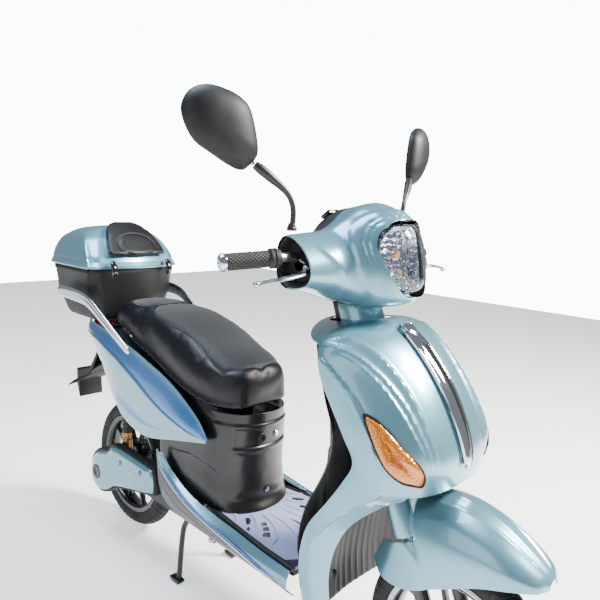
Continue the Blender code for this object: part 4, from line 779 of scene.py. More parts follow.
# Handlebar cowl: front half with brow grooves and wing folds, black rear half
cowl = {
    "thick": 0.0025, "rowSteps": 15, "columnSteps": 9, "pod": 0.005, "groove": 0.002,
    "front": [
        (0.0, (0.9, 1.112), (0.96, 1.122), (1.01, 1.107), (1.044, 1.076), (1.064, 1.01), (1.068, 0.952),
         (1.044, 0.918), (0.985, 0.905), (0.94, 0.903)),
        (0.045, (0.9, 1.1), (0.955, 1.109), (1.006, 1.094), (1.04, 1.062), (1.058, 1.008), (1.06, 0.957),
         (1.038, 0.921), (0.985, 0.906), (0.94, 0.904)),
        (0.076, (0.9, 1.078), (0.945, 1.086), (0.985, 1.074), (1.015, 1.045), (1.03, 1.005), (1.03, 0.965),
         (1.01, 0.93), (0.975, 0.912), (0.935, 0.908)),
        (0.11, (0.898, 1.06), (0.925, 1.062), (0.952, 1.052), (0.977, 1.03), (0.99, 1.0), (0.99, 0.968),
         (0.978, 0.94), (0.95, 0.922), (0.92, 0.916)),
        (0.16, (0.895, 1.054), (0.915, 1.053), (0.938, 1.043), (0.96, 1.022), (0.974, 0.997), (0.976, 0.97),
         (0.964, 0.948), (0.936, 0.936), (0.908, 0.932)),
        (0.205, (0.893, 1.05), (0.908, 1.047), (0.927, 1.037), (0.947, 1.018), (0.962, 0.995), (0.965, 0.972),
         (0.953, 0.953), (0.928, 0.944), (0.9, 0.942))],
    "rear": [
        (0.0, (0.8975, 1.1105), (0.865, 1.104), (0.828, 1.078), (0.806, 1.035), (0.803, 0.99), (0.822, 0.945),
         (0.858, 0.915), (0.9, 0.9035), (0.9375, 0.9025)),
        (0.045, (0.8975, 1.0985), (0.866, 1.092), (0.832, 1.068), (0.811, 1.03), (0.808, 0.988), (0.826, 0.946),
         (0.86, 0.917), (0.9, 0.9045), (0.9375, 0.9035)),
        (0.076, (0.8975, 1.0765), (0.87, 1.07), (0.842, 1.05), (0.824, 1.02), (0.822, 0.986), (0.836, 0.95),
         (0.866, 0.922), (0.902, 0.909), (0.9325, 0.9075)),
        (0.11, (0.8955, 1.0585), (0.876, 1.054), (0.856, 1.038), (0.842, 1.012), (0.84, 0.984), (0.85, 0.955),
         (0.872, 0.93), (0.898, 0.918), (0.9175, 0.9155)),
        (0.16, (0.8925, 1.0525), (0.878, 1.048), (0.866, 1.034), (0.858, 1.01), (0.856, 0.985), (0.862, 0.96),
         (0.876, 0.942), (0.892, 0.934), (0.9055, 0.9315)),
        (0.205, (0.8905, 1.0485), (0.88, 1.044), (0.87, 1.03), (0.866, 1.008), (0.866, 0.985), (0.87, 0.964),
         (0.88, 0.95), (0.89, 0.944), (0.8975, 0.9415))],
}
headlight = {
    "centre": (1.05, 0, 1.008), "tilt": 0.213,
    "outline": [(0.0, 0.08), (0.038, 0.077), (0.064, 0.061), (0.077, 0.034), (0.075, 0.004), (0.064, -0.03),
                (0.049, -0.056), (0.027, -0.073), (0.0, -0.079)],
    "wrap": 4.6,
    # depth and size of each ring of the clear shell, its bezel and the bowl behind
    "shell": [(0.0245, 0.16), (0.0242, 0.3), (0.022, 0.55), (0.0165, 0.75), (0.008, 0.9), (-0.004, 0.975),
              (-0.02, 0.986), (-0.02, 0.966), (-0.005, 0.95), (0.006, 0.88), (0.014, 0.73), (0.0195, 0.54),
              (0.0222, 0.29), (0.0225, 0.16)],
    "bezel": [(-0.0185, 0.95), (-0.004, 0.93), (0.0, 0.86), (-0.006, 0.8), (-0.016, 0.775), (-0.0205, 0.8),
              (-0.0205, 0.945)],
    "bowl": [(-0.0205, 0.8), (-0.034, 0.7), (-0.046, 0.56), (-0.054, 0.38), (-0.058, 0.2), (-0.0605, 0.2),
             (-0.057, 0.4), (-0.049, 0.6), (-0.037, 0.74), (-0.0235, 0.83)],
    "dark": [(0.0125, 1.012), (-0.004, 1.022), (-0.03, 1.022), (-0.03, 0.992), (-0.006, 0.99), (0.005, 0.985)],
}
lensCentre = Vector(headlight["centre"])
lensAxis = Vector((0.977, 0, headlight["tilt"])).normalized()
lensUp = Vector((-headlight["tilt"], 0, 0.977)).normalized()
lensHalf = headlight["outline"]
lensLine = closedSpline([Vector((w, v, 0)) for w, v in lensHalf + [(-w, v) for w, v in reversed(lensHalf[1:-1])]], 6)


def lensRing(depth, scale):
    # The sides of every ring sweep back with the square of their width
    middle = lensCentre + lensAxis * depth
    return [middle + Vector((0, p.x * scale,
            0)) + lensUp * (p.y * scale) - lensAxis * (headlight["wrap"] * (p.x * scale) ** 2)
            for p in lensLine]


def lensShare(point):
    # How far out a point lies from the lamp's middle, where 1 is on the lens's edge
    offset = point - lensCentre
    w, v = offset.y, offset.dot(lensUp)
    angle = math.atan2(w, v)
    near = min(lensLine, key=lambda p: abs(math.atan2(p.x, p.y) - angle))
    return math.hypot(w, v) / math.hypot(near.x, near.y)


def cowlRows(stations):
    half = [[Vector((x, w, z)) for x, z in points] for w, *points in stations]
    right = [[Vector((p.x, -p.y, p.z)) for p in row] for row in reversed(half)]
    return right + half[1:]


def buildCowl(s):
    inside = (0.91, 0, 1.0)

    def lift(j, i, p):
        share = lensShare(p)
        upper = smooth(p.z, 0.985, 1.02)
        pod = 1 - smooth(share, 1.34 - 0.06 * upper, 1.46 - 0.06 * upper)
        grooves = math.exp(-((share - 1.095) / 0.014) ** 2) + math.exp(-((share - 1.175) / 0.014) ** 2)
        wing = fold((abs(p.y) - lookUp(((0.92, 0.112), (0.97, 0.12), (1.01, 0.15), (1.05, 0.19)), p.z)) / -0.02, 0.4,
                1.2)
        wing *= smooth(share, 1.6, 1.8) * smooth(0.195 - abs(p.y), 0, 0.03)
        front = smooth(p.x, 0.93, 0.965)
        return (pod * s["pod"] - grooves * upper * s["groove"] + wing * 0.002) * front

    rows = displaced(net(cowlRows(s["front"]), s["rowSteps"], s["columnSteps"]), inside, lift)
    front = newObject("cowl_front", thicken(grid(rows), inside, s["thick"]), [iceLacquer], 60)
    cutAway(front, [pillow([lensRing(-0.08, 1.004), lensRing(0.06, 1.004)])])
    soften(front, 0.0008)
    settle(front, "steering", ["front_cowl"])
    rows = net(cowlRows(s["rear"]), 6, 6)
    rear = newObject("cowl_rear", thicken(grid(rows), inside, s["thick"]), [matBlack], 60)
    glassOut = Vector((-0.575, 0, 0.818)).normalized()
    glassUp = Vector((0.818, 0, 0.575)).normalized()
    middle = Vector((0.8465, 0, 1.0905))

    def windowRing(depth, half, wide):
        corners = [(-half, -wide), (half, -wide), (half, wide), (-half, wide)]
        return [middle + glassOut * depth + glassUp * a + Vector((0, b, 0)) for a, b in corners]

    cutAway(rear, [loft([windowRing(-0.02, 0.015, 0.04), windowRing(0.02, 0.015, 0.04)]),
                   rod(forkPoint(0.7), forkPoint(0.8), 0.018, 24)])
    soften(rear, 0.0008)
    settle(rear, "steering", ["rear_cowl"])
    rings = [windowRing(d, a, b) for d, a, b in ((-0.002, 0.0145, 0.0395), (0.0048, 0.0145, 0.0395),
                                                 (0.006, 0.0134, 0.0384), (0.0056, 0.0122, 0.0372))]
    addPiece("display_window", loft(rings), [smokedWindow], "steering", ["display"], edge=0.0004)
    # End caps with the black recess round the controls
    for side, name in sides:
        path = [Vector((p[0], side * 0.2035, p[1])) for p in s["front"][-1][1:]]
        path += [Vector((p[0], side * 0.2035, p[1])) for p in reversed(s["rear"][-1][1:])]
        centre = sum(path, Vector()) / len(path)
        line = closedSpline(path, 4)
        rings = []
        for inset, y in ((0.93, 0.2025), (0.86, 0.199), (0.8, 0.186), (0.74, 0.18), (0.3, 0.179), (0.3, 0.1775),
                         (0.76, 0.178), (0.9, 0.183), (0.93, 0.196)):
            rings.append([Vector((centre.x + (p.x - centre.x) * inset, side * y, centre.z + (p.z - centre.z) * inset))
                          for p in line])
        recess = newObject(f"control_recess_{name}", sleeve(rings), [matBlack], 45)
        settle(recess, "steering")


buildCowl(cowl)
addPiece("lamp_shell", pillow([lensRing(d, k) for d, k in headlight["shell"]]), [clearShell], "steering",
         ["headlight_lens"], edge=0)
bezelRings = [lensRing(d, k) for d, k in headlight["bezel"]]
addPiece("lamp_bezel", sleeve(bezelRings), [mirrorFacets], "steering",
         edge=0)
addPiece("lamp_bowl", pillow([lensRing(d, k) for d, k in headlight["bowl"]]), [mirrorFacets], "steering",
         ["headlight_reflector"], edge=0)
gasketRings = [lensRing(d, k) for d, k in headlight["dark"]]
addPiece("lamp_gasket", sleeve(gasketRings), [pianoBlack], "steering",
         edge=0)
for number, high in enumerate((0.014, -0.024)):
    base = lensCentre + lensUp * high - lensAxis * 0.046
    bulb = [(0, 0), (0.0085, 0.001), (0.01, 0.006), (0.0095, 0.014), (0.007, 0.02), (0.003, 0.0235), (0, 0.024)]
    addPiece(f"lamp_bulb_{number}", turned(bulb, base, lensAxis, 32), [bulbGlass], "steering",
             edge=0)
shelf = [lensCentre - lensAxis * 0.03 + lensUp * -0.006 + Vector((0, w, 0)) for w in (-0.04, 0.0, 0.04)]
addPiece("lamp_shelf", tube(spline(shelf, 6), 0.0022, 10, 1.0, (1, 0, 0)), [mirrorFacets], "steering",
         edge=0)

# Neck: pale ahead of the steering line, black behind it
neck = {"rows": ((0.84, 1.0), (0.862, 0.985), (0.884, 0.97), (0.9005, 0.96), (0.9005, 0.9), (0.87, 0.915), (0.84,
        0.93))}
neckRings = []
for z, grow in neck["rows"]:
    middle = forkFoot.x - (z - forkFoot.z) * math.tan(rake)
    neckRings.append([Vector((middle + 0.062 * grow * math.cos(a), 0.05 * grow * math.sin(a), z))
                      for a in (2 * math.pi * k / 64 for k in range(64))])
neckSkin = newObject("neck_skin", sleeve(neckRings), [iceLacquer, matBlack], 40)
paintFaces(neckSkin, lambda c, n: 1 if c.x < forkFoot.x - (c.z - forkFoot.z) * math.tan(rake) - 0.018 else 0)
soften(neckSkin, 0.001)
settle(neckSkin, "steering", ["neck_cover"])

# Grips with a diamond knurl between collars, and a chromed bar end
grip = {
    "start": (0.902, 0.23, 1.005), "end": (0.853, 0.345, 0.995), "radius": 0.0163, "knurl": 0.0011,
    "along": 96, "around": 120, "pitch": 0.0085,
    # place along the grip and radius of the collar rings at the inner end
    "collar": [(0.0, 0.013), (0.0005, 0.0172), (0.002, 0.0182), (0.007, 0.0185), (0.0078, 0.0205), (0.012, 0.0207),
               (0.0128, 0.0182), (0.0142, 0.018), (0.015, 0.0203), (0.021, 0.0205), (0.0222, 0.018), (0.024, 0.0172)],
    "end_cap": [(0.1112, 0.013), (0.1116, 0.0172), (0.1125, 0.0178), (0.1188, 0.0178), (0.123, 0.0158), (0.125,
            0.012),
                (0.125, 0.006), (0.1225, 0.0052), (0.1222, 0.0)],
}
gripStart = Vector(grip["start"])
gripRun = (Vector(grip["end"]) - gripStart).normalized()
for side, name, body, node in ((1, "left", "steering", "grip_left"), (-1, "right", "throttle", "throttle_grip")):
    start = Vector((gripStart.x, side * gripStart.y, gripStart.z))
    run = Vector((gripRun.x, side * gripRun.y, gripRun.z))
    profile = [(r, h) for h, r in grip["collar"]]
    knurled = len(profile)
    for k in range(grip["along"] + 1):
        profile.append((grip["radius"], 0.0245 + 0.0862 * k / grip["along"]))
    profile += [(0.0118, 0.111), (0.0118, 0.0)]
    verts, faces = turned(profile, start, run, grip["around"], True)
    wide = len(profile)
    shaped = []
    for n, v in enumerate(verts):
        k, i = divmod(n, wide)
        if knurled <= i <= knurled + grip["along"]:
            angle = 2 * math.pi * k / grip["around"] * 7
            along = profile[i][1] / grip["pitch"] * math.pi
            cell = abs(math.sin(angle + along)) * abs(math.sin(angle - along))
            fade = smooth(min(i - knurled, knurled + grip["along"] - i), 0, 4)
            axis = start + run * profile[i][1]
            v = axis + (v - axis).normalized() * (grip["radius"] + grip["knurl"] * fade * (min(1.0,
                    cell * 2.2) - 0.3))
        shaped.append(v)
    handle = newObject(f"grip_rubber_{name}", (shaped, faces), [gripRubber], 40)
    settle(handle, body, [node])
    cap = [(0, 0.1114)] + [(r, h) for h, r in grip["end_cap"]]
    addPiece(f"bar_end_{name}", turned(cap, start, run, 48), [chromePlate], body, edge=0)

# Brake levers: flattened blade with a ball tip and a pivot boss
lever = {"pivot": (0.938, 0.188, 0.9845), "tilt": (0.37, 0, 0.93), "thick": 0.0034, "flat": 1.9}
leverTilt = Vector(lever["tilt"]).normalized()
for side, name in sides:
    pivot = Vector((lever["pivot"][0], side * lever["pivot"][1], lever["pivot"][2]))
    blade = [pivot + Vector((0.004, side * 0.005, -0.001)), pivot + Vector((0.0085, side * 0.014, -0.0042)),
             (0.955, side * 0.222, 0.9772), (0.957, side * 0.262, 0.9725), (0.946, side * 0.3, 0.9665),
             (0.94, side * 0.318, 0.963)]
    path = spline(blade, 8)
    widths = [lever["thick"] * (1.15 - 0.3 * smooth(n / len(path), 0.25, 0.9)) for n in range(len(path))]
    boss = [(0.0034, -0.0035), (0.0094, -0.0035), (0.01, -0.0028), (0.01, 0.0028), (0.0094, 0.0035), (0.0034, 0.0035)]
    ball = [(0, -0.0068), (0.0035, -0.006), (0.0058, -0.0038), (0.0066, 0), (0.0058, 0.0038), (0.0035, 0.006), (0,
            0.0068)]
    shapes = [tube(path, widths, 24, lever["flat"], (1, 0, -0.4)), turned(boss, pivot, leverTilt, 40, True),
              turned(ball, (0.938, side * 0.322, 0.962), (0, 1, 0), 32)]
    addPiece(f"lever_{name}", merged(shapes), [buffed], f"brake_lever_{name}", [f"brake_lever_{name}"],
             edge=0.0003)
print("cowl and controls ready")

# Mirrors: domed back with a small boss, glass in a rim facing the rider, stem swelling into an arm
mirror = {
    "outline": [(0.0216, 0.0745), (0.056, 0.0627), (0.0724, 0.033), (0.0668, 0.002), (0.0474, -0.0294),
                (0.0172, -0.049), (-0.0172, -0.0686), (-0.041, -0.0778), (-0.056, -0.074), (-0.0775, -0.048),
                (-0.0754, -0.0137), (-0.0625, 0.0333), (-0.0474, 0.0529), (-0.0216, 0.0667)],
    "shell": ((-0.009, 0.9), (-0.011, 0.925), (-0.011, 0.955), (-0.006, 1.0), (0.0, 1.002), (0.006, 0.975),
              (0.013, 0.905), (0.0195, 0.79), (0.025, 0.62), (0.0287, 0.42), (0.0305, 0.2)),
    "glass": ((-0.008, 0.895), (-0.0092, 0.89), (-0.0094, 0.6), (-0.0095, 0.2)),
}
for side, name in sides:
    base = Vector((0.889, side * 0.187, 1.058))
    middle = Vector((0.828, side * 0.33, 1.25))
    outward = Vector((-0.375, side * 0.927, 0)).normalized()
    backward = Vector((0.927, side * 0.375, 0)).normalized()
    line = closedSpline([Vector((a, b, 0)) for a, b in mirror["outline"]], 5)

    def mirrorRing(depth, scale):
        return [middle + backward * depth + outward * (p.x * scale) + Vector((0, 0, p.y * scale)) for p in line]

    shell = newObject(f"mirror_shell_{name}", pillow([mirrorRing(d, k) for d, k in mirror["shell"]]), [matBlack], 40)
    settle(shell, f"mirror_head_{name}", [f"mirror_head_{name}"])
    addPiece(f"mirror_glass_{name}", pillow([mirrorRing(d, k) for d, k in mirror["glass"]]), [mirrorGlass],
             f"mirror_head_{name}", edge=0)
    seat = middle + outward * 0.016 + Vector((0, 0, 0.03)) + backward * 0.0245
    boss = [(0, 0), (0.0115, 0), (0.011, 0.0026), (0.0095, 0.0034), (0.008, 0.0026), (0.0074, 0.0024), (0, 0.0032)]
    lean = (backward + outward * 0.1 + Vector((0, 0, 0.22))).normalized()
    addPiece(f"mirror_boss_{name}", turned(boss, seat, lean, 40), [matBlack], f"mirror_head_{name}",
             edge=0)
    joint = middle - outward * 0.0675 + Vector((0, 0, -0.0625))
    path = [base, (0.893, side * 0.189, 1.1), (0.888, side * 0.203, 1.132), (0.872, side * 0.236, 1.162)]
    run = (joint - Vector(path[-1])).normalized()
    path = spline(path + [tuple(joint - run * 0.0065)], 8)
    widths = [0.0058 + 0.0044 * smooth(n / len(path), 0.42, 0.8) - 0.0022 * smooth(n / len(path), 0.86, 1.0)
              for n in range(len(path))]
    nut = turned([(0, -0.0005), (0.0105, -0.0005), (0.011, 0.0005), (0.011, 0.006), (0.0098, 0.008), (0, 0.008)],
                 base, (0, 0, 1), 6)
    seal = turned([(0, 0.008), (0.0085, 0.008), (0.008, 0.012), (0.0066, 0.015), (0, 0.015)], base, (0, 0, 1), 32)
    addPiece(f"mirror_arm_{name}", merged([tube(path, widths, 24, 1.0, (1, 0, 0)), nut, seal]), [powderSteel],
             f"mirror_stem_{name}", [f"mirror_stem_{name}"], edge=0.0003)
    ball = [(0, -0.0052), (0.003, -0.0044), (0.005, -0.002), (0.0052, 0.001), (0.004, 0.0036), (0, 0.0052)]
    addPiece(f"mirror_ball_{name}", turned(ball, joint, run, 24), [buffed], f"mirror_stem_{name}",
            edge=0)
print("mirrors ready")


# Repeated hardware: one tree sets a piece on each point, turned by the point's own two directions
def placingTree():
    tree = bpy.data.node_groups.new("pieceOnPoints", "GeometryNodeTree")
    face = tree.interface
    face.new_socket("Geometry", in_out="OUTPUT", socket_type="NodeSocketGeometry")
    face.new_socket("Points", in_out="INPUT", socket_type="NodeSocketGeometry")
    face.new_socket("Piece", in_out="INPUT", socket_type="NodeSocketObject")
    face.new_socket("Size", in_out="INPUT", socket_type="NodeSocketFloat").default_value = 1.0
    face.new_socket("Finish", in_out="INPUT", socket_type="NodeSocketMaterial")
    start = addNode(tree, "NodeGroupInput")
    facing = addNode(tree, "GeometryNodeInputNamedAttribute", {"Name": "facing"}, data_type="FLOAT_VECTOR")
    along = addNode(tree, "GeometryNodeInputNamedAttribute", {"Name": "along"}, data_type="FLOAT_VECTOR")
    turn = addNode(tree, "FunctionNodeAlignRotationToVector", {"Vector": facing.outputs["Attribute"]}, axis="Z")
    spin = addNode(tree, "FunctionNodeAlignRotationToVector",
                   {"Rotation": turn.outputs["Rotation"], "Vector": along.outputs["Attribute"]},
                   axis="X", pivot_axis="Z")
    source = addNode(tree, "GeometryNodeObjectInfo", {"Object": start.outputs["Piece"]})
    copies = addNode(tree, "GeometryNodeInstanceOnPoints",
                     {"Points": start.outputs["Points"], "Instance": source.outputs["Geometry"],
                      "Rotation": spin.outputs["Rotation"], "Scale": start.outputs["Size"]})
    real = addNode(tree, "GeometryNodeRealizeInstances", {"Geometry": copies.outputs["Instances"]})
    coated = addNode(tree, "GeometryNodeSetMaterial",
                     {"Geometry": real.outputs["Geometry"], "Material": start.outputs["Finish"]})
    addNode(tree, "NodeGroupOutput", {"Geometry": coated.outputs["Geometry"]})
    return tree


pieceOnPoints = placingTree()


def repeated(name, template, spots, look, size=1.0):
    # spots holds (place, facing, along); template is a shape round its own origin, z outwards
    mesh = bpy.data.meshes.new(name)
    mesh.from_pydata([tuple(Vector(p) + shift) for p, _, _ in spots], [], [])
    for label, index in (("facing", 1), ("along", 2)):
        held = mesh.attributes.new(label, "FLOAT_VECTOR", "POINT")
        held.data.foreach_set("vector", [c for spot in spots for c in Vector(spot[index])])
    piece = bpy.data.objects.new(name, mesh)
    bpy.context.scene.collection.objects.link(piece)
    source = newObject(f"{name}_template", template, [look])
    source.data.transform(Matrix.Translation(-shift))
    step = piece.modifiers.new("placing", "NODES")
    step.node_group = pieceOnPoints
    for socket in pieceOnPoints.interface.items_tree:
        if socket.name in ("Piece", "Size", "Finish"):
            step[socket.identifier] = {"Piece": source, "Size": size, "Finish": look}[socket.name]
    bake(piece)
    bpy.data.objects.remove(source, do_unlink=True)
    piece.data.shade_smooth()
    piece.data.set_sharp_from_angle(angle=math.radians(40))
    return piece


def evenly(path, spacing, closed=False):
    # Points at equal steps along a path, each with its direction
    path = [Vector(p) for p in path]
    if closed:
        path = path + [path[0]]
    lengths = [0.0]
    for a, b in zip(path, path[1:]):
        lengths.append(lengths[-1] + (b - a).length)
    count = max(2, round(lengths[-1] / spacing))
    result, n = [], 0
    for k in range(count if closed else count + 1):
        target = lengths[-1] * k / count
        while n < len(path) - 2 and lengths[n + 1] < target:
            n += 1
        span = max(1e-9, lengths[n + 1] - lengths[n])
        run = path[n + 1] - path[n]
        result.append((path[n] + run * ((target - lengths[n]) / span), run.normalized()))
    return result


def roundSpots(centre, radius, count, start=0.0, across=0.0):
    # Places round an axle along y, each with its outward direction and its direction of turn
    result = []
    for k in range(count):
        a = 2 * math.pi * (k + start) / count
        out = Vector((math.cos(a), 0, math.sin(a)))
        result.append((centre + out * radius + Vector((0, across, 0)), out, Vector((-out.z, 0, out.x))))
    return result


def screwHead(radius, high):
    # Pan head with a round recess for the driver
    profile = [(0, high * 0.55), (radius * 0.42, high * 0.55), (radius * 0.5, high), (radius * 0.78, high * 0.92),
               (radius, high * 0.45), (radius, 0), (0, -high * 0.4)]
    return turned(profile, (0, 0, 0), (0, 0, 1), 20)


# Ribbed floor mat: lilac panel, fan of raised ribs, black inlays, slit, edge strips and front corners
floorMat = {
    "top": 0.305, "deep": 0.0085, "edge": 0.013, "ribRadius": 0.0026,
    "outline": ((0.545, 0.118), (0.6, 0.126), (0.7, 0.139), (0.8, 0.151), (0.903, 0.157)),
    "ribs": (((0.618, 0.088), (0.64, 0.098), (0.66, 0.114), (0.668, 0.124)),
             ((0.655, 0.062), (0.69, 0.074), (0.722, 0.098), (0.738, 0.126)),
             ((0.672, 0.04), (0.728, 0.052), (0.78, 0.084), (0.806, 0.128)),
             ((0.68, 0.02), (0.752, 0.028), (0.826, 0.058), (0.868, 0.112)),
             ((0.76, 0.014), (0.82, 0.018), (0.868, 0.034), (0.896, 0.06))),
    "inlays": (((0.708, 0.072), (0.722, 0.08), (0.728, 0.068), (0.713, 0.061)),
               ((0.728, 0.084), (0.742, 0.095), (0.751, 0.082), (0.734, 0.072)),
               ((0.747, 0.099), (0.759, 0.114), (0.774, 0.101), (0.757, 0.086)),
               ((0.668, 0.078), (0.684, 0.084), (0.694, 0.096), (0.692, 0.106), (0.676, 0.096), (0.664, 0.086)),
               ((0.7, 0.106), (0.712, 0.112), (0.718, 0.122), (0.708, 0.122))),
    "corner": ((0.868, 0.1415), (0.899, 0.1), (0.9025, 0.1), (0.9025, 0.1435)),
    "slit": ((0.735, 0.0), (0.8, 0.005), (0.88, 0.0075), (0.9, 0.008), (0.9, -0.008), (0.88, -0.0075),
             (0.8, -0.005)),
}


def slab(outline, low, high, name, look, body, nodes=(), edge=0.001):
    shape = loft([[(x, y, low) for x, y in outline], [(x, y, high) for x, y in outline]])
    return addPiece(name, shape, [look], body, nodes, edge)


def buildMat(s):
    low = s["top"] - s["deep"]
    inner = [(x, h - s["edge"]) for x, h in s["outline"]]
    slab(inner + [(x, -h) for x, h in reversed(inner)], low, s["top"], "mat_panel", matRubber, "chassis",
         ["foot_mat"])
    dark, ribs = [], []
    for side, name in sides:
        strip = [(x, side * (h - s["edge"] + 0.0004)) for x, h in s["outline"]]
        strip += [(x, side * h) for x, h in reversed(s["outline"])]
        slab(strip, low, s["top"] + 0.0012, f"mat_edge_{name}", edgeRubber, "chassis")
        ridges = [[(x, side * (h - d), s["top"] + 0.0012) for x, h in s["outline"]] for d in (0.004, 0.009)]
        addPiece(f"mat_edge_ribs_{name}", merged([tube(spline(r, 4), 0.0011, 8) for r in ridges]), [edgeRubber],
                 "chassis", edge=0)
        for line in s["ribs"]:
            path = spline([(x, side * y, s["top"]) for x, y in line], 12)
            count = len(path)
            ribs.append(tube(path, [s["ribRadius"] * min(1.0, 0.25 + 6 * min(n, count - 1 - n) / count)
                                    for n in range(count)], 12, 1.25))
        for outline in s["inlays"] + (s["corner"],):
            ring = [(x, side * y) for x, y in outline]
            dark.append(loft([[(x, y, s["top"] - 0.0006) for x, y in ring], [(x, y, s["top"] + 0.0006) for x,
                    y in ring]]))
    dark.append(loft([[(x, y, s["top"] - 0.0006) for x, y in s["slit"]], [(x, y, s["top"] + 0.0007) for x,
            y in s["slit"]]]))
    addPiece("mat_ribs", merged(ribs), [matRubber], "chassis", edge=0)
    addPiece("mat_inlays", merged(dark), [navyTrim], "chassis", edge=0.0003)


buildMat(floorMat)

# Painted sill, chrome accent with a blue line of painted sky reflection above it, black skirt
sill = {
    "thick": 0.0025,
    "top": [(0.372, 0.144, 0.402), (0.425, 0.144, 0.362), (0.5, 0.143, 0.33), (0.6, 0.14, 0.309),
            (0.7, 0.148, 0.3075), (0.8, 0.159, 0.306), (0.905, 0.166, 0.305)],
    "accent": [(0.35, 0.15, 0.41), (0.385, 0.157, 0.362), (0.493, 0.164, 0.317), (0.6, 0.167, 0.295),
               (0.7, 0.1695, 0.283), (0.813, 0.174, 0.271), (0.905, 0.176, 0.264)],
    "low": [(0.346, 0.144, 0.372), (0.352, 0.14, 0.285), (0.42, 0.138, 0.245), (0.53, 0.138, 0.238),
            (0.664, 0.14, 0.235), (0.813, 0.144, 0.234), (0.905, 0.148, 0.236)],
}
for side, name in sides:
    top, accent, low = sill["top"], sill["accent"], sill["low"]
    bulge = [((a[0] + b[0]) / 2, (a[1] + b[1]) / 2 + 0.004, (a[2] + b[2]) / 2) for a, b in zip(top, accent)]
    rows = net(sided([top, bulge, [(x, w, z + 0.0012) for x, w, z in accent]], side), 8, 10)
    addPiece(f"sill_panel_{name}", thicken(grid(rows), (0.6, 0, 0.3), sill["thick"]), [iceLacquer], "chassis",
             [f"sill_{name}"])
    middle = [((a[0] + b[0]) / 2, (a[1] + b[1]) / 2 + 0.003, (a[2] + b[2]) / 2) for a, b in zip(accent, low)]
    rows = net(sided([[(x, w, z - 0.002) for x, w, z in accent], middle, low], side), 10, 10)
    rows = displaced(rows, (0.6, 0, 0.3), lambda j, i, p: -0.0016 * math.exp(-((j - 9) / 1.1) ** 2))
    addPiece(f"skirt_panel_{name}", thicken(grid(rows), (0.6, 0, 0.3), sill["thick"]), [satinBlack], "chassis",
             [f"skirt_{name}"])
    line = spline([(x, side * (w + 0.001), z - 0.0004) for x, w, z in accent], 10)
    count = len(line)
    widths = [0.0026 * min(1.0, 0.2 + 5 * min(n, count - 1 - n) / count) for n in range(count)]
    addPiece(f"accent_chrome_{name}", tube(line, widths, 12, 0.55, (0, 1, 0.3)), [chromePlate], "chassis",
             edge=0)
    # The blue line just above the chrome is a painted sky reflection
    line = [p + Vector((0, -side * 0.0008, 0.0062)) for p in line[10:-4]]
    count = len(line)
    widths = [0.003 * min(1.0, 5 * min(n, count - 1 - n) / count + 0.05) for n in range(count)]
    addPiece(f"accent_blue_{name}", tube(line, widths, 12, 0.55, (0, 1, 0.3)), [skyReflectionBlue], "chassis",
             edge=0)
print("floor ready")

# Battery cover under the seat: nose, side scoop, socket recess at the top and a bolt at the foot
batteryCover = {
    "thick": 0.003,
    "rings": ((0.31, 0.372, 0.128, 0.668), (0.345, 0.345, 0.13, 0.655), (0.4, 0.335, 0.129, 0.646),
              (0.46, 0.33, 0.126, 0.648), (0.52, 0.33, 0.122, 0.655), (0.57, 0.335, 0.118, 0.658)),
}
coverHalf = []
for z, rearX, half, noseX in batteryCover["rings"]:
    row = [(noseX, 0, z), (noseX - 0.006, half * 0.34, z), (noseX - 0.03, half * 0.68, z)]
    coverHalf.append(row + [(noseX - 0.075, half * 0.9, z), (noseX - 0.15, half * 0.985, z), (rearX, half, z)])


def coverLift(j, i, p):
    # Side scoop: a long leaf pressed in, sharp along its upper edge
    upper = lookUp(((0.4, 0.42), (0.47, 0.432), (0.54, 0.424), (0.6, 0.4)), p.x)
    scoop = (1 - smooth(p.z - upper, -0.004, 0.001)) * smooth(p.z - upper, -0.075, -0.01)
    scoop *= smooth(p.x, 0.385, 0.43) * (1 - smooth(p.x, 0.55, 0.61)) * smooth(abs(p.y), 0.06, 0.09)
    collar = smooth(p.z, 0.538, 0.545)
    pocket = smooth(p.z, 0.476, 0.48) * (1 - smooth(p.z, 0.528, 0.532)) * smooth(p.x, 0.585, 0.598)
    pocket *= 1 - smooth(abs(p.y), 0.086, 0.092)
    brow = math.exp(-((p.z - 0.47) / 0.007) ** 2) * smooth(p.x, 0.6, 0.625)
    foot = math.exp(-((p.z - 0.336) / 0.02) ** 2) * smooth(p.x, 0.6, 0.64)
    return -0.005 * scoop - 0.004 * collar - 0.0036 * pocket + 0.0026 * brow - 0.004 * foot


coverRows = displaced(net(whole(coverHalf), 22, 10), (0.45, 0, 0.45), coverLift)
addPiece("battery_cowl", thicken(grid(coverRows), (0.45, 0, 0.45), batteryCover["thick"]), [satinBlack], "chassis",
         ["battery_cover"])
socketRing = [(0, 0.004), (0.005, 0.004), (0.0056, 0.0062), (0.011, 0.0066), (0.0125, 0.005), (0.0125, -0.004), (0,
        -0.004)]
addPiece("charge_socket", turned(socketRing, (0.6475, -0.026, 0.504), (0.97, -0.24, 0), 40), [matBlack], "chassis",
         edge=0)
lockRing = [(0, 0.003), (0.0016, 0.003), (0.002, 0.0045), (0.007, 0.005), (0.0085, 0.0036), (0.0085, -0.004), (0,
        -0.004)]
addPiece("battery_lock", turned(lockRing, (0.6475, 0.026, 0.504), (0.97, 0.24, 0), 40), [machined], "chassis",
         edge=0)
boltCup = [(0.0105, 0.0022), (0.012, 0.003), (0.0135, 0.0016), (0.0135, -0.003), (0.0105, -0.003)]
addPiece("cover_bolt_cup", turned(boltCup, (0.65, 0.0, 0.352), (1, 0, -0.18), 40, True), [matBlack], "chassis",
         edge=0)
settle(repeated("cover_bolt", screwHead(0.0075, 0.0034), [((0.65, 0, 0.352), (1, 0, -0.18), (0, 1, 0))], zincPlate),
       "chassis")
print("battery cover ready")
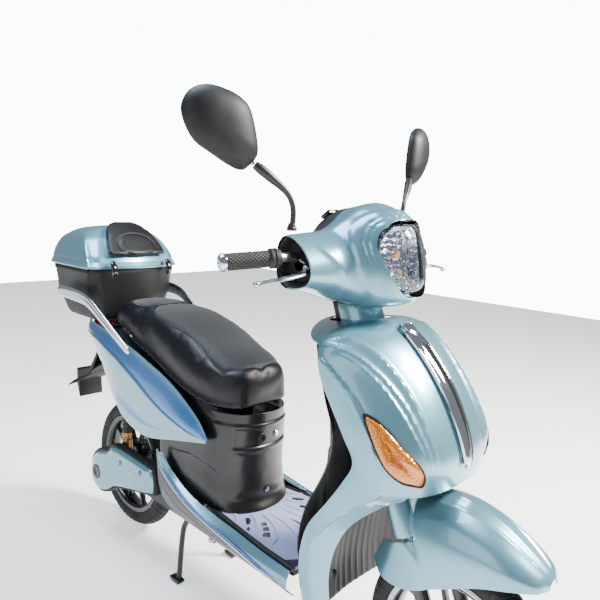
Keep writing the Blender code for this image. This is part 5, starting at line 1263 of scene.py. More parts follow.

# Side panels: painted sky reflection in blue above a pressed crease, ice below it, with a blue band of painted
# reflection at the foot
sidePanel = {
    "thick": 0.003, "crease": 0.0026,
    "stations": [
        ((-0.188, 0.062, 0.694), (-0.178, 0.06, 0.64)), ((-0.105, 0.112, 0.705), (-0.085, 0.108, 0.622)),
        ((0.02, 0.134, 0.7), (0.01, 0.132, 0.578)), ((0.15, 0.141, 0.683), (0.092, 0.138, 0.49)),
        ((0.28, 0.143, 0.652), (0.165, 0.14, 0.44)), ((0.41, 0.144, 0.612), (0.28, 0.142, 0.424)),
        ((0.52, 0.142, 0.55), (0.43, 0.143, 0.458)), ((0.566, 0.14, 0.5), (0.56, 0.14, 0.488))],
    "creaseShare": ((0.0, 0.5), (1.0, 0.42), (2.0, 0.33), (3.0, 0.29), (4.0, 0.32), (5.0, 0.4), (6.0, 0.46), (7.0,
            0.5)),
    # Rows and shares across the panel of the blue band of painted reflection at the foot
    "reflectionBandLow": ((2.6, 0.93), (3.2, 0.9), (3.8, 0.88), (4.4, 0.84), (5.0, 0.8), (5.7, 0.72)),
    "reflectionBandHigh": ((2.6, 0.9), (3.2, 0.78), (3.8, 0.74), (4.4, 0.74), (5.0, 0.75), (5.7, 0.715)),
}


def buildPanel(s, side, name):
    rows = []
    for (ux, uw, uz), (lx, lw, lz) in s["stations"]:
        row = [(ux, uw, uz)]
        for share, swell in ((0.33, 0.014), (0.66, 0.01)):
            swell *= min(1.0, (uz - lz) / 0.1)
            row.append((ux + (lx - ux) * share, uw + (lw - uw) * share + swell, uz + (lz - uz) * share))
        rows.append(row + [(lx, lw, lz)])
    steps, columns = 16, 20
    fine = net(sided(rows, side), steps, columns)
    wide = len(fine[0]) - 1

    def lift(j, i, p):
        level, share = j / steps, i / wide
        ends = smooth(level, 0.1, 0.8) * (1 - smooth(level, 6.3, 6.9))
        return s["crease"] * fold((share - lookUp(s["creaseShare"], level)) / 0.05, 0.4, 2.2) * ends

    fine = displaced(fine, (0.1, 0, 0.55), lift)
    panel = newObject(f"rear_panel_{name}", thicken(grid(fine), (0.1, 0, 0.55), s["thick"]), [lacquerWithPaintedReflection], 60)
    places = [(fine[j][i] + shift, j / steps, i / wide) for j in range(len(fine)) for i in range(wide + 1)]
    tree = KDTree(len(places))
    for n, (p, _, _) in enumerate(places):
        tree.insert(p, n)
    tree.balance()
    # Painted sky reflection: the panel turns sky blue above the crease, and a blue band of painted reflection crosses
    # the foot
    held = panel.data.attributes.new("tint", "FLOAT", "POINT")
    values = []
    for v in panel.data.vertices:
        _, n, _ = tree.find(v.co)
        _, level, share = places[n]
        line = lookUp(s["creaseShare"], level)
        sky = 0.85 * (1 - smooth(share, line - 0.03, line + 0.05)) * smooth(share, 0.0, 0.1) ** 0.5
        low, high = lookUp(s["reflectionBandLow"], level), lookUp(s["reflectionBandHigh"], level)
        inside = smooth(share, high - 0.02, high + 0.02) * (1 - smooth(share, low - 0.02, low + 0.02))
        values.append(max(sky, 0.95 * inside * smooth(level, 2.5, 3.0) * (1 - smooth(level, 5.3, 5.7))))
    held.data.foreach_set("value", values)
    soften(panel, 0.0008)
    settle(panel, "chassis", [f"side_panel_{name}"])


for side, name in sides:
    buildPanel(sidePanel, side, name)

# Tail lamp: faceted red lens with a chrome lip
tailLamp = {"line": ((-0.058, -0.184), (-0.045, -0.206), (-0.02, -0.216), (0.0, -0.218), (0.02, -0.216),
                     (0.045, -0.206), (0.058, -0.184)), "thick": 0.006}
lampRows = [[(x + 0.006, y, 0.7), (x + 0.001, y, 0.694), (x, y, 0.685), (x + 0.002, y, 0.655), (x + 0.006, y, 0.647),
             (x + 0.016, y, 0.642)] for y, x in tailLamp["line"]]
addPiece("tail_lens", thicken(grid(net(lampRows, 6, 5)), (0.0, 0, 0.67), tailLamp["thick"]), [redLens], "chassis",
         ["tail_light"], 0.001)
trim = spline([(x - 0.0012, y, 0.6995) for y, x in tailLamp["line"]], 6)
addPiece("tail_trim", tube(trim, 0.0022, 12, 1.0, (0, 0, 1)), [chromePlate], "chassis", edge=0)

# Rear mudguard with stiffening ribs and the plate bracket
rearGuard = {"thick": 0.003, "line": [(0.262, 0.33), (0.238, 0.42), (0.17, 0.51), (0.07, 0.56), (-0.04, 0.568),
                                      (-0.12, 0.56), (-0.18, 0.53), (-0.245, 0.48), (-0.333, 0.44)]}
guardRows = []
for n, (x, z) in enumerate(rearGuard["line"]):
    half = 0.05 if n < 6 else 0.05 + 0.012 * (n - 5)
    guardRows.append([(x, -half, z - 0.018), (x, -half * 0.6, z), (x, 0, z + 0.003), (x, half * 0.6, z), (x, half,
            z - 0.018)])
guardRows = displaced(net(guardRows, 8, 8), (0.0, 0, 0.2), lambda j, i, p: 0.0016 * max(
    0.0, math.cos(2 * math.pi * p.y / 0.03)) ** 4 * smooth(0.045 - abs(p.y), 0, 0.006))
bracket = [(-0.345, 0.478), (-0.331, 0.474), (-0.245, 0.5), (-0.2, 0.56), (-0.178, 0.606), (-0.14, 0.646),
           (-0.108, 0.65), (-0.108, 0.638), (-0.16, 0.6), (-0.19, 0.552), (-0.238, 0.474), (-0.326, 0.43),
           (-0.32, 0.372), (-0.326, 0.372), (-0.345, 0.42)]
plateArm = loft([[(x, -0.045, z) for x, z in bracket], [(x, 0.045, z) for x, z in bracket]])
addPiece("rear_guard", thicken(grid(guardRows), (0.0, 0, 0.2), rearGuard["thick"]), [matBlack], "chassis",
                 ["rear_mudguard"])
addPiece("plate_bracket", plateArm, [matBlack], "chassis", edge=0.0022)
reflector = [(0, 0.0035), (0.015, 0.0035), (0.0165, 0.0045), (0.018, 0.0035), (0.018, -0.001), (0, -0.001)]
addPiece("plate_reflector", turned(reflector, (-0.3452, 0, 0.452), (-1, 0, 0), 48), [redLens], "chassis",
         edge=0)
settle(repeated("plate_screws", screwHead(0.0042, 0.0022),
                [((-0.3452, y, 0.468), (-1, 0, 0), (0, 1, 0)) for y in (-0.036, 0.036)], zincPlate), "chassis")

# Chrome grab rails: a flat broad head running into a long tapering bar with a dark slot
grabRail = {
    "path": [(-0.2, 0.176, 0.797), (-0.11, 0.1775, 0.797), (-0.01, 0.1755, 0.787), (0.07, 0.171, 0.748),
             (0.15, 0.166, 0.703), (0.222, 0.1625, 0.664)],
    "thick": 0.0085, "high": ((0.0, 0.034), (0.12, 0.04), (0.3, 0.039), (0.48, 0.032), (0.75, 0.024), (1.0, 0.02)),
}
for side, name in sides:
    path = spline([(x, side * w, z) for x, w, z in grabRail["path"]], 10)
    rings, slot = [], []
    for n, point in enumerate(path):
        run = (path[min(n + 1, len(path) - 1)] - path[max(n - 1, 0)]).normalized()
        out = (Vector((0, side, 0)) - run * (side * run.y)).normalized()
        rise = run.cross(out) * side
        rise = rise if rise.z > 0 else -rise
        share = n / (len(path) - 1)
        high = lookUp(grabRail["high"], share) / 2
        deep = grabRail["thick"] / 2
        nip = 0.55 + 0.45 * smooth(min(share, 1 - share), 0, 0.03)
        ring = []
        for a, b in ((-0.7, 1.0), (0.15, 1.0), (0.8, 0.86), (1.0, 0.55), (0.82, 0.0), (1.0, -0.55), (0.8, -0.86),
                     (0.15, -1.0), (-0.7, -1.0), (-1.0, -0.8), (-1.0, 0.8)):
            ring.append(point + out * (a * deep * nip) + rise * (b * high * nip))
        rings.append(ring)
        if 0.3 < share < 0.86:
            slot.append(point + out * (deep * 0.84))
    addPiece(f"rail_{name}", loft(rings), [chromePlate], "chassis", [f"grab_rail_{name}"], edge=0.0006)
    count = len(slot)
    widths = [0.003 * min(1.0, 0.1 + 4 * min(n, count - 1 - n) / count) for n in range(count)]
    addPiece(f"rail_slot_{name}", tube(slot, widths, 10, 0.35, (0, 1, 0)), [pianoBlack], "chassis",
             edge=0)
    lug = spline([(0.06, side * 0.15, 0.73), (0.066, side * 0.16, 0.738), (0.07, side * 0.167, 0.745)], 4)
    addPiece(f"rail_lug_{name}", tube(lug, 0.0062, 16), [powderSteel], "chassis", edge=0)
# Black tub that closes the body under the seat, between the side panels
tubTop = [(-0.06, 0.085, 0.7), (0.02, 0.098, 0.712), (0.07, 0.104, 0.71), (0.15, 0.112, 0.691), (0.28, 0.117, 0.653),
          (0.4, 0.118, 0.611), (0.5, 0.115, 0.585), (0.56, 0.104, 0.576)]
for side, name in sides:
    tubRows = [[(x, side * w, z), (x, side * (w + 0.006), z - 0.035), (x - 0.01, side * (w + 0.004), z - 0.085)]
               for x, w, z in tubTop]
    addPiece(f"seat_tub_{name}", thicken(grid(net(tubRows, 5, 4)), (0.2, 0, 0.6), 0.0025), [satinBlack], "chassis",
             edge=0)
print("rear panels ready")


# Top case: black base, lacquered lid with a lip band, hinge covers, lock, corner reflectors
def caseRing(half, rear, front, z, corner=0.05, bow=0.018, steps=4):
    side = [(rear - bow * 0.5, 0, z)]
    for turn, share in ((0, 0.0), (30, 0.134), (60, 0.5), (90, 1.0)):
        side.append((rear + corner * share, half - corner + corner * math.sin(math.radians(turn)), z))
    nose = front - bow
    side += [(nose - corner, half, z), (nose - corner * 0.5, half - corner * 0.134, z)]
    side += [(nose - corner * 0.134, half - corner * 0.5, z), (nose, half - corner, z)]
    side += [(front - bow * 0.3, (half - corner) * 0.5, z)]
    ring = side + [(front, 0, z)] + [(x, -w, z) for x, w, z in reversed(side[1:])]
    return closedSpline([Vector(p) for p in ring], steps)


topCase = {
    "base": ((0.118, -0.235, -0.01, 0.712), (0.126, -0.252, -0.005, 0.716), (0.132, -0.262, -0.002, 0.732),
             (0.15, -0.285, 0.006, 0.8), (0.1545, -0.293, 0.009, 0.862), (0.1575, -0.2965, 0.0105, 0.866),
             (0.1575, -0.2965, 0.0105, 0.8785)),
    "inside": ((0.153, -0.293, 0.007, 0.8785), (0.147, -0.282, 0.003, 0.8), (0.129, -0.259, -0.005, 0.734),
               (0.113, -0.23, -0.014, 0.716)),
    "lip": ((0.1615, -0.302, 0.014, 0.88), (0.165, -0.306, 0.0195, 0.8835), (0.165, -0.3062, 0.02, 0.89),
            (0.1625, -0.304, 0.017, 0.893), (0.1615, -0.3035, 0.015, 0.8985), (0.1595, -0.3025, 0.0125, 0.901)),
    "dome": [(0.1595, -0.3025, 0.0125, 0.901, 0.05, 0.018), (0.157, -0.296, 0.0, 0.925, 0.05, 0.018),
             (0.14, -0.272, -0.04, 0.97, 0.05, 0.018), (0.105, -0.225, -0.08, 1.0, 0.045, 0.018),
             (0.055, -0.165, -0.105, 1.012, 0.03, 0.006)],
    "under": ((0.05, -0.16, -0.108, 1.008, 0.028, 0.006), (0.101, -0.221, -0.083, 0.996, 0.045),
              (0.136, -0.268, -0.044, 0.966), (0.153, -0.292, -0.004, 0.923), (0.1575, -0.298, 0.009, 0.88)),
}
baseRings = [caseRing(*r) for r in topCase["base"] + topCase["inside"]]
addPiece("case_tub", loft(baseRings), [matBlack], "chassis", ["case_base"], 0.001)
domeRings = [caseRing(*r) for r in topCase["dome"]]
domeRows = [list(row) for row in zip(*[spline(column, 7) for column in zip(*domeRings)])]
lidRings = [caseRing(*r) for r in topCase["under"]] + [caseRing(*r) for r in topCase["lip"]] + domeRows[1:]
lid = newObject("case_lid_shell", pillow(lidRings), [iceLacquer], 40)
cutAway(lid, [rod((-0.33, 0, 0.905), (-0.29, 0, 0.905), 0.0114, 32)])
soften(lid, 0.0008)
settle(lid, "case_lid", ["case_lid"])
lockFace = [(0, 0.008), (0.002, 0.008), (0.0024, 0.0105), (0.008, 0.0108), (0.0096, 0.009), (0.0108, 0.006),
            (0.0108, -0.008), (0, -0.008)]
addPiece("lock_button", turned(lockFace, (-0.3105, 0, 0.905), (-1, 0, 0), 48), [pianoBlack], "case_lock",
        ["case_lock"],
         0)
plateRing = [(0.0116, 0.001), (0.0122, 0.003), (0.018, 0.0022), (0.0195, -0.0006), (0.0116, -0.003)]
addPiece("lock_surround", turned(plateRing, (-0.3075, 0, 0.905), (-1, 0, 0), 48, True), [chromePlate], "case_lid",
         edge=0)
hingeCover = {"line": [(0.012, 0.907), (0.019, 0.9055), (0.0265, 0.896), (0.0315, 0.884), (0.032, 0.8715),
                       (0.0275, 0.862), (0.0215, 0.8588)],
              "width": (0.0035, 0.0085, 0.0105, 0.011, 0.0105, 0.008, 0.0035), "deep": 0.0062}
for side, name in sides:
    rings = []
    spine = spline([(x, w, z) for (x, z), w in zip(hingeCover["line"], hingeCover["width"])], 5)
    for n, p in enumerate(spine):
        run = spine[min(n + 1, len(spine) - 1)] - spine[max(n - 1, 0)]
        out = Vector((-run.z, 0, run.x)).normalized()
        out = out if out.x > 0 else -out
        ring = []
        for k in range(24):
            a = 2 * math.pi * k / 24
            deep = hingeCover["deep"] if math.sin(a) > 0 else 0.008
            ring.append(Vector((p.x, side * 0.1 + p.y * math.cos(a), p.z)) + out * (deep * math.sin(a) * p.y / 0.011))
        rings.append(ring)
    cover = newObject(f"hinge_cover_{name}", pillow(rings), [pianoBlack], 50)
    settle(cover, "case_lid")
    settle(repeated(f"hinge_screw_{name}", screwHead(0.0034, 0.0018),
                    [((0.0372, side * 0.1, 0.8745), (0.98, 0, -0.12), (0, 1, 0))], zincPlate), "case_lid")
    # Corner reflector: a red lens wrapped round the rear corner of the dome
    lens = []
    wide = len(domeRows[0])
    for j in range(7, 17):
        row = []
        for k in range(11):
            i = 7 + k if side > 0 else wide - 5 - k
            row.append(domeRows[j][i % wide])
        lens.append(row)
    centre = (-0.15, 0, 0.93)
    lens = displaced(lens, centre, lambda j, i, p: 0.0016)
    addPiece(f"case_reflector_{name}", thicken(grid(lens), centre, 0.003), [redLens], "case_lid",
             edge=0.0006)
print("top case ready")

# Padded pieces: remeshed, inflated a little as cloth, then seamed and stitched
def inflated(piece, voxel, cap, pressure=4.0, held=None):
    # held(point) is how firmly a place is kept: 1 stays where the foam is glued to its board
    step = piece.modifiers.new("even", "REMESH")
    step.mode, step.voxel_size = "VOXEL", voxel
    bake(piece)
    rest = [v.co.copy() for v in piece.data.vertices]
    cloth = piece.modifiers.new("foam", "CLOTH")
    cloth.settings.use_pressure, cloth.settings.uniform_pressure_force = True, pressure
    cloth.settings.effector_weights.gravity = 0.0
    cloth.settings.tension_stiffness = cloth.settings.compression_stiffness = 40.0
    cloth.point_cache.frame_start, cloth.point_cache.frame_end = 1, 20
    for frameNumber in range(1, 21):
        bpy.context.scene.frame_set(frameNumber)
    bake(piece)
    bpy.context.scene.frame_set(1)
    for v, was in zip(piece.data.vertices, rest):
        move = v.co - was
        limit = cap * (1 - (held(was - shift) if held else 0.0))
        if move.length > limit:
            v.co = was + move * (limit / move.length)
    even = piece.modifiers.new("relax", "SMOOTH")
    even.factor, even.iterations = 0.5, 7
    fine = piece.modifiers.new("fine", "SUBSURF")
    fine.levels = fine.render_levels = 1
    bake(piece)
    piece.data.shade_smooth()
    return piece


def skinNormals(piece):
    # Read all at once, because moving one point makes Blender work out every normal again
    return [v.normal.copy() for v in piece.data.vertices]


def stitchShape(long=0.0042, thick=0.0006):
    rings = []
    for x, k in ((-0.5, 0.45), (-0.3, 1.0), (0.3, 1.0), (0.5, 0.45)):
        rings.append([Vector((x * long, a * thick * k, b * thick * k + 0.0002 - abs(x) * 0.0006))
                      for a, b in ((1, 0), (0, 1), (-1, 0), (0, -1))])
    return loft(rings)


def stitched(name, skin, line, down, look, body, spacing=0.0062, closed=False):
    # Drops a line of stitches on to a finished skin
    tree = BVHTree.FromPolygons([v.co - shift for v in skin.data.vertices], [p.vertices for p in skin.data.polygons])
    spots = []
    for point, run in evenly(line, spacing, closed):
        hit, normal, _, _ = tree.ray_cast(point - Vector(down) * 0.05, Vector(down), 0.1)
        if hit:
            facing = normal if normal.dot(Vector(down)) < 0 else -normal
            spots.append((hit + facing * 0.0002, facing, run - facing * run.dot(facing)))
    piece = repeated(name, stitchShape(), spots, look)
    return settle(piece, body)


seat = {
    "stations": [
        (0.03, 0.084, 0.776, 0.744), (0.036, 0.092, 0.783, 0.732), (0.06, 0.105, 0.7865, 0.724),
        (0.13, 0.117, 0.7885, 0.706), (0.175, 0.1205, 0.7855, 0.692), (0.21, 0.123, 0.785, 0.678),
        (0.3, 0.127, 0.7795, 0.654), (0.4, 0.129, 0.757, 0.618), (0.49, 0.126, 0.724, 0.592),
        (0.56, 0.115, 0.7, 0.583), (0.606, 0.094, 0.681, 0.582), (0.622, 0.08, 0.668, 0.583),
        (0.63, 0.062, 0.652, 0.586)],
    "front": ((0.186, 0.0), (0.195, 0.045), (0.215, 0.075), (0.26, 0.095), (0.33, 0.098), (0.39, 0.09), (0.44, 0.088),
              (0.5, 0.097), (0.545, 0.102), (0.575, 0.097), (0.598, 0.066), (0.61, 0.0)),
    "rear": ((0.05, 0.0), (0.06, 0.045), (0.078, 0.066), (0.12, 0.077), (0.15, 0.074), (0.166, 0.052), (0.175, 0.0)),
    "voxel": 0.006, "swell": 0.0045, "groove": 0.0022, "grooveWide": 0.0042, "crown": 0.0012,
}
seatRings = []
for x, half, top, low in seat["stations"]:
    deep = top - low
    side = [(0.0, top), (half * 0.3, top - deep * 0.008), (half * 0.62, top - deep * 0.05), (half * 0.84,
            top - deep * 0.16),
            (half * 0.955, top - deep * 0.36), (half, top - deep * 0.62), (half * 0.985, low + deep * 0.12),
            (half * 0.93, low)]
    seatRings.append([Vector((x, w, z)) for w, z in side] + [Vector((x, -w, z)) for w, z in reversed(side[1:])])
columns = [spline(column, 4) for column in zip(*seatRings)]
seatPiece = newObject("seat_cushion", loft([closedSpline(list(row), 3) for row in zip(*columns)]), [sideVinyl,
        topVinyl], 60)


def seatFloor(point):
    low = lookUp([(x, z) for x, _, _, z in seat["stations"]], point.x)
    return 1 - smooth(point.z, low + 0.004, low + 0.04)


inflated(seatPiece, seat["voxel"], seat["swell"], held=seatFloor)


def insetEdge(x, y):
    # Distance outside the nearer inset's outline: negative inside it
    best = 1.0
    for outline in (seat["front"], seat["rear"]):
        if outline[0][0] - 0.02 < x < outline[-1][0] + 0.02:
            for (xa, ya), (xb, yb) in zip(outline, outline[1:]):
                run = Vector((xb - xa, yb - ya))
                t = min(1.0, max(0.0, Vector((x - xa, y - ya)).dot(run) / run.length_squared))
                away = (Vector((x, y)) - Vector((xa, ya)) - run * t).length
                best = min(best, away) if best > 0 else -min(-best, away)
            if outline[0][0] < x < outline[-1][0] and y < lookUp(outline, x):
                best = -abs(best)
    return best


for v, normal in zip(seatPiece.data.vertices, skinNormals(seatPiece)):
    if normal.z > 0.25:
        p = v.co - shift
        away = insetEdge(p.x, abs(p.y))
        line = math.exp(-(away / seat["grooveWide"]) ** 2)
        v.co += normal * (seat["crown"] * smooth(-away, 0.0, 0.03) - seat["groove"] * line)
paintFaces(seatPiece, lambda centre, normal: 1 if normal.z > 0.25 and insetEdge(centre.x, abs(centre.y)) < 0 else 0)
settle(seatPiece, "seat", ["seat"])
for label in ("front", "rear"):
    outline = spline([(x, w, 0.76) for x, w in seat[label][1:-1]], 6)
    middle = Vector(((seat[label][0][0] + seat[label][-1][0]) / 2, 0, 0.76))
    loop = outline + [Vector((p.x, -p.y, p.z)) for p in reversed(outline)]
    loop = [p + (p - middle).normalized() * 0.0055 for p in loop]
    stitched(f"seat_stitch_{label}", seatPiece, loop, (0, 0, -1), threadNylon, "seat", closed=True)
# Board under the cushion with a turned lip
boardRings = []
for drop, grow in ((0.007, 0.925), (0.0035, 0.945), (0.0005, 0.94), (0.0005, 0.9)):
    boardRings.append([Vector((0.34 + (x - 0.34) * (0.985 if drop < 0.004 else 0.98), s * half * grow, low + drop))
                       for s, run in ((1, seat["stations"]), (-1,
                               seat["stations"][::-1])) for x, half, _, low in run])
addPiece("seat_board", loft(boardRings), [matBlack], "seat", edge=0)
print("seat ready")

backPad = {"rows": ((2, 0.096, 0.015), (3, 0.099, 0.0), (4, 0.089, 0.0), (5, 0.061, 0.0), (6, 0.028, -0.0005)),
           "gap": 0.005, "thick": 0.0125, "voxel": 0.0042, "swell": 0.004, "oval": (0.062, 0.0335, 0.957)}
padLid = {2: (0.1595, -0.3025, 0.0125, 0.9), 3: (0.157, -0.296, 0.0, 0.925), 4: (0.14, -0.272, -0.04, 0.97),
          5: (0.105, -0.225, -0.08, 1.0, 0.045), 6: (0.055, -0.165, -0.105, 1.012, 0.03, 0.006)}


def frontOf(ring, wide):
    half = sorted((p.y, p.x) for p in ring if p.y >= 0 and p.x > -0.13)
    return lookUp(half, wide)


padRows = []
for number, half, rise in backPad["rows"]:
    ring = caseRing(*padLid[number])
    padRows.append([(frontOf(ring, half * abs(k) / 6) + backPad["gap"], half * k / 6,
            ring[0].z + rise + backPad["gap"])
                    for k in range(-6, 7)])
pad = newObject("backrest_pad", thicken(grid(net(padRows, 5, 2)), (-0.14, 0, 0.85), -backPad["thick"]), [padVinyl],
        60)
inflated(pad, backPad["voxel"], backPad["swell"])
for v, normal in zip(pad.data.vertices, skinNormals(pad)):
    p = v.co - shift
    wide, high, middle = backPad["oval"]
    ringShare = math.sqrt((p.y / wide) ** 2 + ((p.z - middle) / high) ** 2)
    if normal.x > 0.1 or normal.z > 0.5:
        v.co += normal * (0.0012 * (1 - smooth(ringShare, 0.8,
                1.0)) - 0.0018 * math.exp(-((ringShare - 1.05) / 0.09) ** 2))
settle(pad, "case_lid", ["case_pad"])
print("backrest pad ready")

# Wheels: tyre with slanted blocks, cast rim with a machined lip, ten spokes, hub
wheel = {"blocks": 58, "treadRadius": 0.2128, "spokes": 10, "spokeEnd": 0.1465, "screwInset": 0.011,
        "screwSide": 0.0352}
tyreCase = [(0.1662, -0.0225), (0.1675, -0.0255), (0.176, -0.0298), (0.186, -0.0304), (0.196, -0.0272), (0.204,
        -0.0205),
            (0.2085, -0.012), (0.2102, 0.0)]
tyreCase += [(r, -w) for r, w in reversed(tyreCase[:-1])]
tyreCase += [(0.1662, 0.02), (0.184, 0.0245), (0.2035, 0.01), (0.2035, -0.01), (0.184, -0.0245), (0.1662, -0.02)]
rimLine = [(0.15, -0.025), (0.1515, -0.0262), (0.1535, -0.0262), (0.155, -0.0252), (0.161, -0.0256), (0.164, -0.0268),
           (0.1655, -0.0262), (0.1655, -0.024), (0.156, -0.019), (0.153, 0.0), (0.156, 0.019), (0.1655, 0.024),
           (0.1655, 0.0262), (0.164, 0.0268), (0.161, 0.0256), (0.155, 0.0252), (0.1535, 0.0262), (0.1515, 0.0262),
           (0.15, 0.025), (0.144, 0.01), (0.144, -0.01)]
blockRings = []
for w in (0.0035, 0.012, 0.02, 0.0262):
    drop = lookUp(((0.0, 0.0), (0.006, 0.0004), (0.012, 0.0022), (0.018, 0.0058), (0.0235, 0.01), (0.028, 0.0155)), w)
    middle, half = -0.0085 + w * 0.62, 0.0072
    blockRings.append([Vector((middle + a * half, w, -drop - b)) for a, b in ((1, 0), (-1, 0), (-1.12, 0.006), (1.12,
            0.006))])
sideBlock = [[Vector((a * 0.004 + w * 0.25, w, -b)) for a, b in ((1, b0), (-1, b0), (-1.1, b0 + 0.003), (1.1,
        b0 + 0.003))]
             for w, b0 in ((0.0276, 0.016), (0.03, 0.0225), (0.0306, 0.029))]


def spokeShape(inner, outer):
    rings = []
    for share, wide, deep in ((0.0, 0.0105, 0.015), (0.12, 0.0072, 0.013), (0.5, 0.0052, 0.0105), (0.86, 0.0048,
            0.0088),
                              (1.0, 0.0085, 0.01)):
        rings.append([Vector((wide * a, deep * b, inner + (outer - inner) * share)) for a, b in
                      ((1, 0.55), (0.55, 1), (-0.55, 1), (-1, 0.55), (-1, -0.55), (-0.55, -1), (0.55, -1), (1,
                              -0.55))])
    return loft(rings)


def buildWheel(name, centre, hub, hubRadius, screws):
    addPiece(f"{name}_tyre_casing", turned(tyreCase, centre, (0, 1, 0), 96, True), [tyreRubber], f"{name}_wheel",
             [f"{name}_tyre"], 0)
    for label, shape, turn in (("tread", loft(blockRings), 0), ("shoulder", loft(sideBlock), 1)):
        spots = []
        for half, sign in ((0.0, 1), (0.5, -1)):
            for place, out, along in roundSpots(centre, wheel["treadRadius"], wheel["blocks"], half + 0.25 * turn):
                spots.append((place, out, along * sign))
        settle(repeated(f"{name}_{label}", shape, spots, tyreRubber), f"{name}_wheel")
    rim = newObject(f"{name}_rim", turned(rimLine, centre, (0, 1, 0), 96, True), [wheelEnamel, machined], 30)
    paintFaces(rim, lambda c, n: 1 if name == "front" and abs(n.y) > 0.5 and (c - centre).length > 0.1595 else 0)
    settle(rim, f"{name}_wheel", [f"{name}_wheel"])
    spots = []
    for k in range(wheel["spokes"]):
        a = 2 * math.pi * (k + 0.5) / wheel["spokes"]
        out = Vector((math.sin(a), 0, math.cos(a)))
        spots.append((centre, out, Vector((out.z, 0, -out.x))))
    spokes = repeated(f"{name}_spokes", spokeShape(hubRadius - 0.006, wheel["spokeEnd"]), spots, wheelEnamel)
    soften(spokes, 0.0012)
    settle(spokes, f"{name}_wheel")
    addPiece(f"{name}_hub", turned(hub, centre, (0, 1, 0), 72, True), [wheelEnamel], f"{name}_wheel",
             edge=0.0008, sharp=30)
    spots = []
    for s in (-1, 1):
        for place, _, _ in roundSpots(centre, hubRadius - wheel["screwInset"], screws, 0.0, s * wheel["screwSide"]):
            spots.append((place, Vector((0, s, 0)), Vector((1, 0, 0))))
    settle(repeated(f"{name}_hub_screws", screwHead(0.004, 0.0022), spots, zincPlate), f"{name}_wheel")
    stem = Vector((math.sin(0.6), 0, math.cos(0.6)))
    addPiece(f"{name}_valve", tube([centre + stem * 0.146, centre + stem * 0.128 + Vector((0, -0.012, 0)),
                                    centre + stem * 0.118 + Vector((0, -0.02, 0))], 0.0032, 12), [gripRubber],
             f"{name}_wheel", edge=0)


def hubLine(radius, half):
    one = [(0.0064, -half), (0.015, -half), (0.017, -half + 0.002), (radius * 0.45 + 0.004, -half + 0.0028),
           (radius - 0.02, -half + 0.0034), (radius - 0.004, -half + 0.004), (radius, -half + 0.009),
           (radius + 0.003, -0.01)]
    return one + [(r, -w) for r, w in reversed(one)]


buildWheel("front", frontAxle, hubLine(0.04, 0.038), 0.04, 5)
buildWheel("rear", rearAxle, hubLine(0.078, 0.038), 0.078, 9)
print("wheels ready")

# Drive: spindle with a toothed ring, sprocket and a chain of plates and rollers
drive = {"pivot": (0.56, 0, 0.21), "ring": 0.042, "cog": 0.034, "y": -0.052, "pitch": 0.0127}
pivot = Vector(drive["pivot"])
spindleLine = [(0, -0.1195), (0.006, -0.12), (0.0078, -0.1185), (0.008, -0.1), (0.008, -0.055), (0.016, -0.055),
               (0.02, -0.0532), (0.0385, -0.0532), (0.0385, -0.0508), (0.02, -0.0508), (0.016, -0.049), (0.008,
                       -0.049),
               (0.008, 0.1), (0.0078, 0.1185), (0.006, 0.12), (0, 0.1195)]
cogLine = [(0.0064, -0.059), (0.016, -0.059), (0.016, -0.0532), (0.0305, -0.0532), (0.0305, -0.0508), (0.016,
        -0.0508),
           (0.016, -0.045), (0.0064, -0.045)]
addPiece("crank_axle", turned(spindleLine, pivot, (0, 1, 0), 48), [buffed], "crank", ["crank_spindle"],
        0.0004)
addPiece("rear_sprocket", turned(cogLine, rearAxle, (0, 1, 0), 48, True), [oiledSteel], "freewheel", ["freewheel"],
         0.0003)
tooth = loft([[Vector((a, b * 0.0011, 0.0)) for a, b in ((0.0036, 1), (-0.0036, 1), (-0.0036, -1), (0.0036, -1))],
              [Vector((a, b * 0.0009, 0.0042)) for a, b in ((0.0016, 1), (-0.0016, 1), (-0.0016, -1), (0.0016, -1))]])
for label, centre, radius, count, body in (("ring", pivot, 0.0382, 21, "crank"), ("cog", rearAxle, 0.0302, 17,
        "freewheel")):
    spots = roundSpots(centre, radius, count, 0.0, drive["y"])
    settle(repeated(f"{label}_teeth", tooth, spots, oiledSteel), body)
chainLine = []
spread = pivot - rearAxle
lean = math.asin((drive["ring"] - drive["cog"]) / spread.length)
slope = math.atan2(spread.z, spread.x)
for centre, radius, start, sweep in ((pivot, drive["ring"] + 0.0041, -math.pi / 2 - lean, math.pi + 2 * lean),
                                     (rearAxle, drive["cog"] + 0.0041, math.pi / 2 + lean, math.pi - 2 * lean)):
    for n in range(25):
        a = start + sweep * n / 24 + slope
        chainLine.append(centre + Vector((math.cos(a), 0, math.sin(a))) * radius + Vector((0, drive["y"], 0)))
plate = [(-0.0063, 0.0), (-0.005, 0.0031), (-0.002, 0.0022), (0.002, 0.0022), (0.005, 0.0031), (0.0063, 0.0),
         (0.005, -0.0031), (0.002, -0.0022), (-0.002, -0.0022), (-0.005, -0.0031)]


def linkShape(inner, outer):
    shapes = [loft([[Vector((x, s * inner, z)) for x, z in plate], [Vector((x, s * outer, z)) for x, z in plate]])
              for s in (-1, 1)]
    return merged(shapes + [rod((0.00635, -inner, 0), (0.00635, inner, 0), 0.0022, 6)])


stops = [(p, Vector((d.z, 0, -d.x)), d) for p, d in evenly(chainLine, drive["pitch"], True)]
settle(repeated("chain_outer_links", linkShape(0.0026, 0.0036), stops[0::2], oiledSteel), "swingarm",
       ["chain"])
settle(repeated("chain_inner_links", linkShape(0.0014, 0.0024), stops[1::2], oiledSteel), "swingarm")

# Swing-arm cover: dark shell with a lacquered face, two screw recesses and an end disc
swingCover = {"outline": [(-0.06, 0.214), (-0.046, 0.262), (-0.008, 0.296), (0.055, 0.316), (0.105, 0.342), (0.29,
        0.338),
                          (0.318, 0.325), (0.327, 0.262), (0.305, 0.246), (0.2, 0.222), (0.105, 0.196), (0.055,
                                  0.166),
                          (0.002, 0.152), (-0.045, 0.171)],
              "middle": (0.13, 0.245)}


